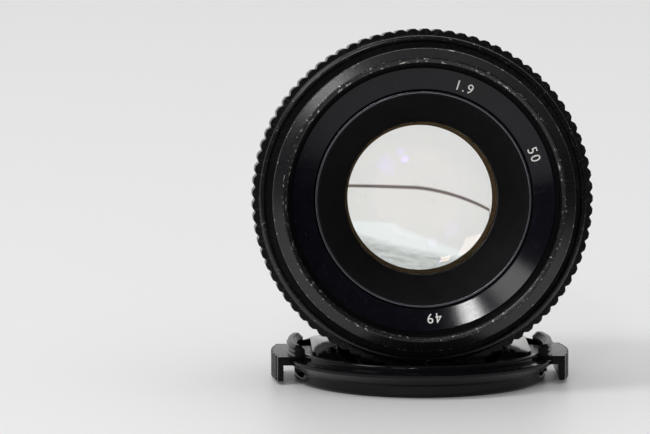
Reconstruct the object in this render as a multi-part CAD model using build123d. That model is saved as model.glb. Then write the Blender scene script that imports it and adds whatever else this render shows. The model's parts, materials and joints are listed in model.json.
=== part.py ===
"""Standard prime lens for a screw-mount reflex camera, resting on its own clip-on front cap.

The lens is a double Gauss of six elements in a moving cell. A knurled ring turns a helicoid that
slides the cell along two keys, and an aperture ring turns a cam plate that swings six iris blades.

Two sets of axes are used. Lens pieces are modelled along the optical axis: heights count forwards
from the mount's seating face, and angles count anticlockwise as seen from the front. Cap pieces are
modelled where they lie, with heights above the table. The lens is then laid on the cap, so in the
finished model +Z is up, the front of the lens looks along -Y, and the origin is the middle of the
cap's face on the table. All sizes are in millimetres.
"""
import os
from math import asin, atan2, cos, degrees, radians, sin, sqrt

from build123d import *

os.makedirs("parts", exist_ok=True)

# ---------------------------------------------------------------- clearances
RUN_GAP = 0.10            # between faces that slide past each other along the axis
RUN_FIT = 0.05            # radial, between a bore and what turns in it
SLIDE_FIT = 0.03          # radial, between a bore and what slides along it
SEAT_FIT = 0.02           # radial, between pieces screwed or pressed together
REST_GAP = 0.10           # between the lens and the cap that it lies on
CUT = 1.0                 # how far a cutting shape reaches past what it cuts
JOIN = 0.5                # how far two shapes of one piece reach into each other
EDGE = 0.3                # chamfer on turned edges
SLOT_WIDTH = 0.35         # of a screw head's radius
SLOT_DEPTH = 0.5          # of a screw head's height

# ---------------------------------------------------------------- camera mount
THREAD_R = 21.0           # 42 mm screw mount, crest of the thread
THREAD_LENGTH = 5.3       # from the seating face to the end of the stub
THREAD_CHAMFER = 0.6
STUB_WALL = 1.8
RELIEF_DEPTH = 0.6        # groove where the thread meets the seating face
RELIEF_WIDTH = 0.8
RELIEF_FLOOR = 0.2        # of the groove, below the seating face
RELIEF_LAND = 0.3         # of the groove, past the crest of the thread
FLANGE_RISE = 2.1         # of the flange past the hub
FLANGE_THICK = 1.7
FLANGE_CHAMFER = 0.4
SPIGOT_HEIGHT = 0.5
MOUNT_SCREW_ANGLES = (90, 210, 330)
MOUNT_SCREW_R = 0.95
MOUNT_SCREW_HEAD_R = 1.6
MOUNT_SCREW_LENGTH = 4.4

# ---------------------------------------------------------------- fixed barrel
HUB_WALL = 3.0            # the aperture ring turns on the hub
HUB_CLEAR = 0.9           # from the thread's crest to the hub's bore
SHOULDER_RISE = 2.6       # past the sleeve
SHOULDER_THICK = 1.5
SLEEVE_STEP = 1.1         # from the hub's bore to the sleeve's
SLEEVE_WALL = 1.6
SLEEVE_CLEAR = 0.9        # behind the web of the helicoid at infinity
INDEX_WALL = 2.08
INDEX_LENGTH = 3.0
GRUB_R = 0.7
GRUB_DEPTH = 0.5          # that a grub screw reaches into the piece under its ring
GRUB_SUNK = 0.15          # below the ring's outside
BOTTOM = 0.1              # free space under the end of a grub screw
GRUB_ANGLES = (40, 160, 280)

# ---------------------------------------------------------------- aperture ring
APERTURE_WALL = 3.35      # under the smooth band that carries the numbers
APERTURE_KNURL_RISE = 0.6
APERTURE_LENGTH = 5.1
APERTURE_KNURL_LENGTH = 2.7
APERTURE_TEETH = 60
APERTURE_TOOTH_DEPTH = 0.5
APERTURE_TIP_SHARE = 0.5  # of the pitch that a tip takes
APERTURE_TURN = 42.0      # from wide open to the smallest stop, in degrees
APERTURE_STOPS = 6        # clicks over that turn
FORK_THICK = 1.0
FORK_WIDTH = 6.0
FORK_RISE = 0.8           # ahead of the flange
FORK_ROOT = 2.3           # depth of its seat in the ring
FORK_SPARE = 1.0          # degrees that its window in the hub is longer at each end
FORK_TIP = 0.4            # that its prongs reach past the lever
FORK_SLOT = 0.5           # behind the lever, to the bottom of the slot
DETENT_ANGLE = 250
DETENT_BALL_R = 0.75
DETENT_PROUD = 0.25       # how far the ball stands out of the hub
DETENT_GROOVE = 0.30
DETENT_NOTCH = 0.2        # of the click notches below the groove
DETENT_NOTCH_SHARE = 0.8  # of the ball's radius
DETENT_SETBACK = 1.0      # ahead of the knurl
DETENT_FLOOR = 0.5        # of the hub under the click spring
DETENT_SPRING_R = 0.5
DETENT_SPRING_WIRE_R = 0.1
DETENT_SPRING_TURNS = 3

# ---------------------------------------------------------------- stop-down pin and its guide
PIN_R = 0.9
PIN_COLLAR_R = 1.35
PIN_COLLAR_THICK = 0.6
PIN_TRAVEL = 2.2
PIN_PROUD = 1.6           # behind the end of the thread when released
PIN_ANGLE = 270
GUIDE_WALL = 0.5
GUIDE_FLOOR = 0.8
PAD_WIDTH = 9.0
PIN_SPRING_TURNS = 4
PIN_SPRING_WIRE_R = 0.1
PIN_SPRING_SHUT = 1.0     # room that the spring keeps when the pin is pressed home
PIN_NOSE = 0.6            # radius of the pin's tail, as a share of the pin's

# ---------------------------------------------------------------- automatic / manual switch
SWITCH_ANGLE = 150
SWITCH_THICK = 0.7
SWITCH_SPAN = 16.0        # degrees that the lever's plate covers
SWITCH_TURN = 12.0        # degrees from automatic to manual
SWITCH_TAB_WIDTH = 5.0
SWITCH_TAB_RISE = 2.2     # past the flange
SWITCH_TAB_ROUND = 0.8
SWITCH_LAND = 0.5         # of the flange inside the lever's pocket
SWITCH_SPARE = 1.0        # degrees that the pocket is longer at each end

# ---------------------------------------------------------------- focusing
FOCUS_TRAVEL = 6.8        # forward movement from infinity to the near limit
FOCUS_TURN = 210.0        # of the ring, over that travel
TUBE_WALL = 1.7           # moving helicoid tube
TUBE_CLEAR = 0.8          # behind the tube at infinity
WEB_THICK = 1.6
KEY_WIDTH = 4.0
KEY_LENGTH = 4.5
KEY_HEIGHT = 1.4
KEY_SPARE = 0.5           # of the keyway ahead of its key at infinity
KEY_BACK = 11.5           # from the shoulder to the back of the key
KEY_SCREW_R = 0.6
KEY_ANGLES = (0, 180)
RETAINER_THICK = 1.3
RETAINER_WALL = 1.55
RETAINER_NOTCH = 1.6      # width of the two notches for its spanner
RETAINER_NOTCH_DEPTH = 0.6
RETAINER_NOTCH_ANGLES = (45, 225)
LIP_THICK = 1.4
STOP_PIN_R = 0.7
STOP_PIN_RISE = 0.8       # ahead of the shoulder
STOP_PIN_FLOOR = 0.3      # of the shoulder under the pin
STOP_ANGLE = 60

# ---------------------------------------------------------------- focusing ring
RING_WALL = 1.55          # between the helicoid and the distance ring
GRIP_RISE = 1.2           # of the knurl's tips past the distance ring
GRIP_TEETH = 85
GRIP_TOOTH_DEPTH = 0.45
GRIP_TIP_SHARE = 0.42     # of the pitch that a tip takes
GRIP_ROWS = 4
GRIP_ROW_LENGTH = 2.6
GRIP_GROOVE = 0.7
GRIP_GROOVE_DEPTH = 0.6
DISTANCE_LENGTH = 6.9
DISTANCE_WALL = 1.35
LIP_SHOULDER_DROP = 1.2   # from the knurl's tips to the polished shoulder ahead of it
LIP_SHOULDER_WIDTH = 0.95
LIP_SHOULDER_RISE = 1.4
SHOULDER_ROUND = 0.15     # its edge is broken in three steps of this size
RECESS_DEPTH = 0.7        # of the ring's front face inside the shoulder

# ---------------------------------------------------------------- front rim and name ring
FILTER_WALL = 2.5         # of the rim outside the 49 mm filter thread
FILTER_THREAD_DEPTH = 0.4
FILTER_DEPTH = 3.4        # threaded wall above the name ring
RIM_WALL = 0.65           # of the skirt that is screwed over the helicoid
RIM_LENGTH = 6.8          # from the skirt's end to the front edge
RIM_EDGE = 0.8            # from the thread to the bevel
RIM_BEVEL_LENGTH = 1.5
RIM_WORN = 0.1            # rounding of the worn front edge
RIM_MOUTH_DEPTH = 0.5
RIM_SHELF = 0.9
SKIRT_LENGTH = 0.9
SKIRT_GAP = 0.4           # from the recess to the skirt at infinity
NAME_RING_GAP = 0.35      # round the cell's neck
NAME_RING_LAND = 0.23     # flat top outside the cone
NAME_RING_LOW = 0.5
NAME_RING_HIGH = 1.6
NAME_RING_STEP = 0.45     # its seat is narrower than the thread

# ---------------------------------------------------------------- lens core and cells
CORE_WALL = 1.8
CORE_FLOOR = 1.2
CORE_CLEAR = 1.3          # ahead of the fork
CORE_FLANGE_CLEAR = 0.23  # inside the helicoid tube
CORE_FLANGE_THICK = 1.6
CORE_SCREW_R = 0.8
CORE_SCREW_HEAD_R = 1.3
CORE_SCREW_LENGTH = 2.9
CORE_SCREW_ANGLES = (30, 150, 270)
CELL_NECK_STEP = 0.65
CELL_NECK_LENGTH = 3.0
NECK_CLEAR = 0.15         # between the cell's neck and the rim's shelf
CELL_EDGE = 0.1           # chamfer on the cell's bright front edge
CELL_LIP = 0.65           # bright front edge of the cell outside the cone
CONE_COVER = 0.7          # of the first element's edge under the cone
CONE_COLLAR = 1.0         # of the cone's flare behind its hole
CONE_LIP = 0.25           # of the cone outside its mouth
CONE_SUNK = 0.2           # below the cell's front edge
CELL_OPENING = 0.1        # of the cell's hole outside the glass it frames
SPACER_WALL = 0.5         # of the spacers, where they touch the doublets
SPACER_FACE = 1.3         # of the front spacer, where it touches the first element
CONE_HOLE_HEIGHT = 0.6    # of the cone's hole above the front vertex
REAR_CELL_WALL = 2.0
REAR_CELL_END_WALL = 1.0
REAR_CELL_RISE = 2.0      # of its flange past the spigot
REAR_CELL_FLANGE = 1.2
REAR_SPIGOT_WALL = 1.6
REAR_LIP = 1.0            # of the cell behind the rear vertex
REAR_TAPER = 2.0          # length of the taper at the cell's end
REAR_OPENING = 0.2        # of the cell's hole outside the glass it frames
REAR_RETAINER_WALL = 1.0
REAR_RETAINER_SUNK = 0.3
REAR_RETAINER_FLARE = 0.6
REAR_NOTCH = 1.2          # width of the two notches for the retainer's spanner
REAR_NOTCH_DEPTH = 0.6

# ---------------------------------------------------------------- optics
# Each surface: radius of curvature (positive where it bulges forwards) and the gap behind it.
GLASS_RISE = 18.9         # of the front vertex ahead of the core's floor
SURFACES = (
    (30.42, 3.88),        # 1  first element, front
    (87.54, 0.15),        # 2
    (19.89, 4.15),        # 3  front doublet
    (42.07, 3.38),        # 4  cemented face
    (13.16, 10.53),       # 5  to the rear doublet, with the iris between
    (-14.96, 1.22),       # 6  rear doublet
    (42.07, 6.26),        # 7  cemented face
    (-21.04, 0.20),       # 8
    (451.0, 3.32),        # 9  last element
    (-41.00, 0.0),        # 10
)
ELEMENT_1_R = 14.5
FRONT_DOUBLET_R = 12.4
FRONT_HOLLOW_R = 9.6      # clear radius of surface 5
REAR_HOLLOW_R = 8.6       # clear radius of surface 6
REAR_DOUBLET_R = 10.9
ELEMENT_6_R = 11.4
HOLLOW_LAND = 0.7         # flat ring round a hollow surface
DOUBLET_BEVEL = 2.0

# ---------------------------------------------------------------- iris
BLADES = 6
BLADE_INNER_R = 9.45
BLADE_OUTER_R = 15.4
BLADE_THICK = 0.10
BLADE_PITCH = 0.17        # from one blade's level to the next
BLADE_TAIL = -6.0         # degrees behind the pivot
BLADE_TIP = 112.0         # degrees ahead of the pivot
BLADE_LUG_R = 1.0
PIVOT_R = 16.2
DRIVE_R = 17.8
DRIVE_ANGLE = 10.0
BLADE_PIN_R = 0.4
CAM_FIT = 0.05            # between a drive pin and its slot
CAM_STEPS = 8             # points along the slot
BLADE_TAIL_ROUND = 1.2
BLADE_ROOT = (2.4, 3.2)   # plate between the crescent and its lug
BLADE_ROOT_SHIFT = 0.5    # of that plate towards the crescent
BLADE_ROOT_ANGLE = 3.0
SMALLEST_STOP_R = 1.15
FIXED_STOP_R = 9.3
HOUSING_BORE_R = 19.1
HOUSING_PLATE = 0.5
HOUSING_HEIGHT = 3.0
HOUSING_OPENING = 0.3     # of its chamfer round the fixed stop
ACTUATOR_THICK = 0.6
ACTUATOR_BORE_R = 14.9
ACTUATOR_RISE = 0.6       # above the core's floor
CIRCLIP_THICK = 0.4
CIRCLIP_BORE_R = 18.55
CIRCLIP_GROOVE = 0.3      # depth of its groove in the housing
CIRCLIP_CLEAR = 0.1       # round it in that groove
CIRCLIP_GAP = 40.0        # degrees left open
LEVER_INNER_R = 17.4
LEVER_THICK = 1.0
LEVER_WIDTH = 2.0
LEVER_SPARE = 0.7         # of the lever behind the fork at the near limit
LEVER_CLEAR = 0.3         # between the lever and its window in the core
LEVER_FOOT = 0.4          # depth of the foot that joins the lever to the cam plate
LEVER_LAND = 0.2          # of the cam plate inside that foot

# ---------------------------------------------------------------- clip-on front cap
CAP_INSET = 1.4           # of the wall inside the tabs' arcs
CAP_COVERS = 0.6          # of the flange past the filter thread
CAP_FACE = 0.9            # thickness of the face on the table
CAP_WALL = 0.9
CAP_SLOPE_LOW = 2.1
CAP_SLOPE_HIGH = 3.6
CAP_FLANGE_THICK = 1.0
CAP_RIM_RISE = 1.15       # of the wall above the flange
CAP_SLOT_HALF = 8.1       # half width of the opening for a tab
CAP_LEDGE_RISE = 0.65     # of the ledge that the cover rests on
CAP_FLOOR_THICK = 0.8     # of the cover's floor, which carries the lens
CAP_FLOOR_CLEAR = 0.5     # round the cover
CAP_FACE_EDGE = 0.5       # chamfer round the face
CAP_SEAT = 1.2            # width of the cover's ledge
BOX_RISE = 3.85           # of the cover's spring boxes above its floor
BOX_HALF = 10.4
BOX_TOE = 3.4             # reach of a box's sloping inner end
BOX_TOE_RISE = 1.55       # from the floor to the foot of the slope
BOX_ROOF = 0.8
BOX_WALL = 0.8
BOX_SIDE = 2.7
BOX_LENS_GAP = 0.4
MOUTH_HALF = 5.5
TAB_CLEAR = 0.4           # beside the tabs and the spring boxes
TAB_TRAVEL = 1.2
TAB_PAD_RISE = 1.9        # of the finger pads past the flange
TAB_PAD_THICK = 2.1
TAB_PAD_LOW = 0.7
TAB_PAD_STEP = 0.5        # above the flange's top
TAB_WEB = 1.55            # thickness of the web between the pad and the catches
TAB_RIBS = 9
TAB_RIB_DEPTH = 0.35
TAB_ARC_GAP = 0.3         # from the catches to the filter thread's root
TAB_ARC_WALL = 1.9
TAB_ARC_HALF = 7.5
TAB_ARC_RISE = 1.45       # above the cap's rim
TAB_ARC_EDGE = 0.8        # slope along the inner edge
TAB_CATCH = 0.3
TAB_CATCHES = 3
TAB_CATCH_PITCH = 0.75
TONGUE_CLEAR = 0.3        # round the tongue in the box's mouth
HOOK_CLEAR = 0.9          # beside the hooks
HOOK_LENGTH = 1.2
CAP_SPRING_R = 1.1
CAP_SPRING_WIRE_R = 0.2
CAP_SPRING_TURNS = 3
CAP_SPRING_CLEAR = 0.1    # round the spring in its nest

# ---------------------------------------------------------------- how the lens lies
LENS_BACK = 19.0          # from the middle of the cap back to the mount's seating face

# ---------------------------------------------------------------- radii, from the thread outwards
STUB_BORE_R = THREAD_R - STUB_WALL
HUB_BORE_R = THREAD_R + HUB_CLEAR
HUB_R = HUB_BORE_R + HUB_WALL
FLANGE_R = HUB_R + FLANGE_RISE
APERTURE_SCALE_R = HUB_R + RUN_FIT + APERTURE_WALL
APERTURE_R = APERTURE_SCALE_R + APERTURE_KNURL_RISE
SLEEVE_BORE_R = HUB_BORE_R + SLEEVE_STEP
SLEEVE_R = SLEEVE_BORE_R + SLEEVE_WALL
SHOULDER_R = SLEEVE_R + SHOULDER_RISE
INDEX_R = SHOULDER_R + SEAT_FIT + INDEX_WALL
LIP_R = SHOULDER_R - RUN_GAP
TUBE_BORE_R = SLEEVE_R + SLIDE_FIT
TUBE_R = TUBE_BORE_R + TUBE_WALL
RING_SEAT_R = TUBE_R + RUN_FIT + RING_WALL
DISTANCE_R = RING_SEAT_R + SEAT_FIT + DISTANCE_WALL
GRIP_R = DISTANCE_R + GRIP_RISE
LIP_SHOULDER_R = GRIP_R - LIP_SHOULDER_DROP
RIM_R = TUBE_R + SEAT_FIT + RIM_WALL
FILTER_R = RIM_R - FILTER_WALL
FILTER_BORE_R = FILTER_R - FILTER_THREAD_DEPTH
RIM_EDGE_R = FILTER_R + RIM_EDGE
NAME_RING_R = FILTER_BORE_R - NAME_RING_STEP - SEAT_FIT
NAME_RING_EDGE_R = NAME_RING_R - NAME_RING_LAND
CORE_R = HUB_BORE_R - RUN_GAP
CORE_BORE_R = CORE_R - CORE_WALL
CORE_FLANGE_R = TUBE_BORE_R - CORE_FLANGE_CLEAR
CELL_NECK_R = CORE_BORE_R - CELL_NECK_STEP
CONE_MOUTH_R = CELL_NECK_R - CELL_LIP
CONE_HOLE_R = ELEMENT_1_R - CONE_COVER
NAME_RING_BORE_R = CELL_NECK_R + NAME_RING_GAP
HOUSING_R = CORE_BORE_R - RUN_GAP
REAR_CELL_R = ELEMENT_6_R + REAR_CELL_WALL
REAR_CELL_END_R = ELEMENT_6_R + REAR_CELL_END_WALL
REAR_SPIGOT_R = REAR_DOUBLET_R + REAR_SPIGOT_WALL
REAR_CELL_FLANGE_R = REAR_SPIGOT_R + REAR_CELL_RISE
TAB_ARC_R = FILTER_R - TAB_ARC_GAP
CAP_R = TAB_ARC_R - CAP_INSET
CAP_FLANGE_R = FILTER_R + CAP_COVERS
CAP_FLOOR_R = CAP_R - CAP_WALL - CAP_FLOOR_CLEAR
TAB_PAD_X = CAP_FLANGE_R + TAB_PAD_RISE

# ---------------------------------------------------------------- heights along the axis
APERTURE_BACK = FLANGE_THICK + RUN_GAP
APERTURE_FRONT = APERTURE_BACK + APERTURE_LENGTH
HUB_FRONT = APERTURE_FRONT + RUN_GAP
SHOULDER_FRONT = HUB_FRONT + SHOULDER_THICK
INDEX_FRONT = HUB_FRONT + INDEX_LENGTH
LIP_BACK = SHOULDER_FRONT + RUN_GAP
LIP_FRONT = LIP_BACK + LIP_THICK
RETAINER_BACK = LIP_FRONT + RUN_GAP
RETAINER_FRONT = RETAINER_BACK + RETAINER_THICK
DISTANCE_BACK = INDEX_FRONT + RUN_GAP
GRIP_BACK = DISTANCE_BACK + DISTANCE_LENGTH
GRIP_LENGTH = GRIP_ROWS * GRIP_ROW_LENGTH + (GRIP_ROWS - 1) * GRIP_GROOVE
GRIP_FRONT = GRIP_BACK + GRIP_LENGTH
RING_FRONT = GRIP_FRONT + LIP_SHOULDER_RISE
RECESS_FRONT = RING_FRONT - RECESS_DEPTH
TUBE_BACK = RETAINER_FRONT + TUBE_CLEAR
SKIRT_BACK = RECESS_FRONT + SKIRT_GAP
TUBE_FRONT = SKIRT_BACK + SKIRT_LENGTH
RIM_FRONT = SKIRT_BACK + RIM_LENGTH
FILTER_MOUTH = RIM_FRONT - RIM_MOUTH_DEPTH
THREAD_BACK = FILTER_MOUTH - FILTER_DEPTH
SHELF_FRONT = THREAD_BACK - NAME_RING_HIGH
SHELF_BACK = SHELF_FRONT - RIM_SHELF
WEB_FRONT = SHELF_BACK - CORE_FLANGE_THICK - 4 * RUN_GAP
SLEEVE_FRONT = WEB_FRONT - WEB_THICK - SLEEVE_CLEAR
FORK_BACK = FLANGE_THICK + FORK_RISE
CORE_BACK = FORK_BACK + FORK_THICK + CORE_CLEAR
CORE_FLOOR_FRONT = CORE_BACK + CORE_FLOOR
FRONT_VERTEX = CORE_FLOOR_FRONT + GLASS_RISE
HOUSING_FRONT = CORE_FLOOR_FRONT + HOUSING_HEIGHT
LEVER_TAIL = FORK_BACK - FOCUS_TRAVEL - LEVER_SPARE
CELL_BACK = HOUSING_FRONT + SEAT_FIT
CELL_FRONT = SHELF_FRONT + 3 * RUN_GAP

GUIDE_LENGTH = GUIDE_FLOOR + PIN_COLLAR_THICK + PIN_TRAVEL + PIN_SPRING_SHUT
CAP_LEDGE = CAP_FACE + CAP_LEDGE_RISE
CAP_FLOOR_TOP = CAP_LEDGE + CAP_FLOOR_THICK
BOX_TOP = CAP_FLOOR_TOP + BOX_RISE
CAP_FLANGE_TOP = CAP_SLOPE_HIGH + CAP_FLANGE_THICK
CAP_RIM_TOP = CAP_FLANGE_TOP + CAP_RIM_RISE
TAB_PAD_TOP = CAP_FLANGE_TOP + TAB_PAD_STEP
TAB_WEB_LOW = TAB_PAD_TOP - TAB_WEB
TAB_ARC_TOP = CAP_RIM_TOP + TAB_ARC_RISE
TONGUE_LOW = CAP_LEDGE + TONGUE_CLEAR
TONGUE_TOP = BOX_TOP - BOX_ROOF - TONGUE_CLEAR
TONGUE_HALF = MOUTH_HALF - TONGUE_CLEAR
TAB_HALF = CAP_SLOT_HALF - TAB_CLEAR
HOOK_HALF = BOX_HALF - BOX_SIDE - HOOK_CLEAR

BLADE_SWING = degrees(2 * asin((BLADE_INNER_R - SMALLEST_STOP_R) / (2 * PIVOT_R)))
TILT = atan2(GRIP_R - APERTURE_R, GRIP_BACK - APERTURE_BACK)
FLANGE_HEIGHT = (CAP_FLOOR_TOP + REST_GAP + APERTURE_R * cos(TILT)
                 - APERTURE_BACK * sin(TILT))
LENS_PLACE = Location((0, LENS_BACK, FLANGE_HEIGHT), (90 - degrees(TILT), 0, 0))

pieces = {}


# ---------------------------------------------------------------- shared shapes
def ring(*section):
    """Solid turned about the axis from the corners (radius, height) of its half section."""
    outline = Polyline(*[(radius, 0, height) for radius, height in section], close=True)
    return revolve(make_face(outline), Axis.Z)


def tube(inner, outer, low, high):
    """Plain tube between two radii and two heights."""
    return ring((inner, low), (outer, low), (outer, high), (inner, high))


def sector(inner, outer, low, high, start, end):
    """Part of a tube between two angles, in degrees."""
    corners = ((inner, 0, low), (outer, 0, low), (outer, 0, high), (inner, 0, high))
    face = make_face(Polyline(*corners, close=True))
    return Rot(0, 0, start) * revolve(face, Axis.Z, end - start)


def rod(radius, low, high, out=0.0, angle=0.0):
    """Round rod along the axis, its centre line at a distance and an angle from the axis."""
    body = Cylinder(radius, high - low, align=(Align.CENTER, Align.CENTER, Align.MIN))
    return Rot(0, 0, angle) * Pos(out, 0, low) * body


def spoke(radius, inner, outer, height, angle):
    """Round rod that points away from the axis, from one radius to another."""
    body = Cylinder(radius, outer - inner, align=(Align.CENTER, Align.CENTER, Align.MIN))
    return Rot(0, 0, angle) * Pos(inner, 0, height) * Rot(0, 90, 0) * body


def block(x_low, x_high, y_low, y_high, z_low, z_high):
    """Block between two corners."""
    body = Box(x_high - x_low, y_high - y_low, z_high - z_low,
               align=(Align.MIN, Align.MIN, Align.MIN))
    return Pos(x_low, y_low, z_low) * body


def polar(radius, angle):
    """Point in the plane at a radius and an angle in degrees."""
    return Vector(radius * cos(radians(angle)), radius * sin(radians(angle)))


def toothed_band(teeth, tip_r, depth, tip_share, bore_r, low, high):
    """Knurled band: flat tips with a V-shaped space between each two."""
    pitch = 360 / teeth
    outline = []
    for tooth in range(teeth):
        middle = tooth * pitch
        outline.append(polar(tip_r, middle - tip_share * pitch / 2))
        outline.append(polar(tip_r, middle + tip_share * pitch / 2))
        outline.append(polar(tip_r - depth, middle + pitch / 2))
    face = make_face(Polyline(*outline, close=True)) - Circle(bore_r)
    return Pos(0, 0, low) * extrude(face, high - low)


def countersunk_screw(shank_r, head_r, length):
    """Slotted countersunk screw with its head up and its flat top at height 0."""
    head = head_r - shank_r
    body = ring((0, 0), (head_r, 0), (shank_r, -head), (shank_r, -length), (0, -length))
    slot = Box(2 * head_r, SLOT_WIDTH * head_r, SLOT_DEPTH * head,
               align=(Align.CENTER, Align.CENTER, Align.MAX))
    return body - slot


def countersunk_hole(shank_r, head_r, length):
    """Room for such a screw, a fit wider all round."""
    head = head_r - shank_r
    wide_r = head_r + SEAT_FIT
    bore_r = shank_r + SEAT_FIT
    return ring((0, CUT), (wide_r, CUT), (wide_r, 0), (bore_r, -head), (bore_r, -length), (0, -length))


def spring(radius, wire_r, turns, length):
    """Compression spring of square wire that stands on height 0."""
    rise = length - 2 * wire_r
    path = Helix(pitch=rise / turns, height=rise, radius=radius)
    start = Plane(origin=path @ 0, x_dir=(1, 0, 0), z_dir=path % 0)
    return Pos(0, 0, wire_r) * sweep(start * Rectangle(2 * wire_r, 2 * wire_r), path=path)


# ---------------------------------------------------------------- optics
def vertex(surface):
    """Height of a surface's vertex; surfaces count from 1 at the front."""
    return FRONT_VERTEX - sum(gap for _, gap in SURFACES[:surface - 1])


def glass_height(surface, out):
    """Height of a glass surface at a distance from the axis."""
    radius = SURFACES[surface - 1][0]
    sag = abs(radius) - sqrt(radius * radius - out * out)
    return vertex(surface) - sag if radius > 0 else vertex(surface) + sag


def glass_arc(surface, out):
    """Half section of a glass surface, from the axis outwards."""
    points = [(part * out, 0, glass_height(surface, part * out)) for part in (0, 0.5, 1)]
    return ThreePointArc(*points)


def glass_element(front, back, edge_r, front_out=None, back_out=None):
    """Lens element between two surfaces. A hollow surface ends in a flat land and a bevel."""
    front_curve = glass_arc(front, front_out or edge_r)
    back_curve = glass_arc(back, back_out or edge_r)
    corners = [front_curve @ 1]
    if front_out:
        land = glass_height(front, front_out)
        corners.append(Vector(front_out + HOLLOW_LAND, 0, land))
        corners.append(Vector(edge_r, 0, land - bevel_drop(edge_r, front_out)))
    tail = [back_curve @ 1]
    if back_out:
        land = glass_height(back, back_out)
        tail.append(Vector(back_out + HOLLOW_LAND, 0, land))
        tail.append(Vector(edge_r, 0, land + bevel_drop(edge_r, back_out)))
    side = Polyline(*corners, *reversed(tail))
    axis_line = Line(front_curve @ 0, back_curve @ 0)
    return revolve(make_face(front_curve + side + back_curve + axis_line), Axis.Z)


def bevel_drop(edge_r, hollow_r):
    """Height of the bevel outside a hollow surface's land."""
    return DOUBLET_BEVEL * (edge_r - hollow_r - HOLLOW_LAND) / (FRONT_DOUBLET_R - FRONT_HOLLOW_R
                                                                 - HOLLOW_LAND)


def make_glass():
    """Six elements: a front singlet, two cemented doublets round the iris, a rear singlet."""
    pieces["element_1"] = glass_element(1, 2, ELEMENT_1_R)
    pieces["element_2"] = glass_element(3, 4, FRONT_DOUBLET_R)
    pieces["element_3"] = glass_element(4, 5, FRONT_DOUBLET_R, back_out=FRONT_HOLLOW_R)
    pieces["element_4"] = glass_element(6, 7, REAR_DOUBLET_R, front_out=REAR_HOLLOW_R)
    pieces["element_5"] = glass_element(7, 8, REAR_DOUBLET_R)
    pieces["element_6"] = glass_element(9, 10, ELEMENT_6_R)


# ---------------------------------------------------------------- camera mount
def make_mount():
    """Mount plate: threaded stub, seating flange, pad for the pin and pocket for the switch."""
    plate = ring(
        (STUB_BORE_R, -THREAD_LENGTH),
        (THREAD_R - THREAD_CHAMFER, -THREAD_LENGTH),
        (THREAD_R, -THREAD_LENGTH + THREAD_CHAMFER),
        (THREAD_R, -RELIEF_WIDTH),
        (THREAD_R - RELIEF_DEPTH, -RELIEF_WIDTH),
        (THREAD_R - RELIEF_DEPTH, RELIEF_FLOOR),
        (THREAD_R + RELIEF_LAND, RELIEF_FLOOR),
        (THREAD_R + RELIEF_LAND, 0),
        (FLANGE_R - FLANGE_CHAMFER, 0),
        (FLANGE_R, FLANGE_CHAMFER),
        (FLANGE_R, FLANGE_THICK),
        (HUB_BORE_R - SEAT_FIT, FLANGE_THICK),
        (HUB_BORE_R - SEAT_FIT, FLANGE_THICK + SPIGOT_HEIGHT),
        (STUB_BORE_R, FLANGE_THICK + SPIGOT_HEIGHT),
    )
    pad_inner = pin_out() - PIN_COLLAR_R - GUIDE_WALL
    half = PAD_WIDTH / 2
    pad = block(pad_inner, STUB_BORE_R + STUB_WALL / 2, -half, half, 0, FLANGE_THICK)
    plate += Rot(0, 0, PIN_ANGLE) * pad
    plate -= rod(PIN_R + RUN_FIT, -CUT, FLANGE_THICK + CUT, pin_out(), PIN_ANGLE)
    screw_r = HUB_BORE_R + HUB_WALL / 2
    hole = Rot(180, 0, 0) * countersunk_hole(MOUNT_SCREW_R, MOUNT_SCREW_HEAD_R, MOUNT_SCREW_LENGTH)
    screw = countersunk_screw(MOUNT_SCREW_R, MOUNT_SCREW_HEAD_R, MOUNT_SCREW_LENGTH)
    screws = []
    for angle in MOUNT_SCREW_ANGLES:
        place = Rot(0, 0, angle) * Pos(screw_r, 0, 0)
        plate -= place * hole
        screws.append(place * Pos(0, 0, SEAT_FIT) * Rot(180, 0, 0) * screw)
    low = FLANGE_THICK - SWITCH_THICK - RUN_GAP
    start = SWITCH_ANGLE - SWITCH_SPAN / 2 - SWITCH_SPARE
    end = SWITCH_ANGLE + SWITCH_SPAN / 2 + SWITCH_TURN + SWITCH_SPARE
    pocket_r = HUB_BORE_R + SWITCH_LAND
    plate -= sector(pocket_r, FLANGE_R + CUT, low, FLANGE_THICK + CUT, start, end)
    pieces["mount_plate"] = plate
    pieces["mount_screws"] = Compound(screws)


def pin_out():
    """Distance of the stop-down pin from the optical axis."""
    return STUB_BORE_R - PIN_COLLAR_R - GUIDE_WALL - RUN_GAP


def make_switch():
    """Automatic / manual lever: a plate in the mount's pocket with a tab past the flange."""
    low = FLANGE_THICK - SWITCH_THICK - RUN_GAP / 2
    high = low + SWITCH_THICK
    half = SWITCH_SPAN / 2
    plate = sector(HUB_BORE_R + SWITCH_LAND + RUN_FIT, FLANGE_R, low, high, -half, half)
    side = SWITCH_TAB_WIDTH / 2
    tab = block(FLANGE_R - CUT, FLANGE_R + SWITCH_TAB_RISE, -side, side, low, high)
    tab = fillet(tab.edges().filter_by(Axis.Z).sort_by(Axis.X)[-2:], SWITCH_TAB_ROUND)
    pieces["switch_lever"] = Rot(0, 0, SWITCH_ANGLE) * (plate + tab)


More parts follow.
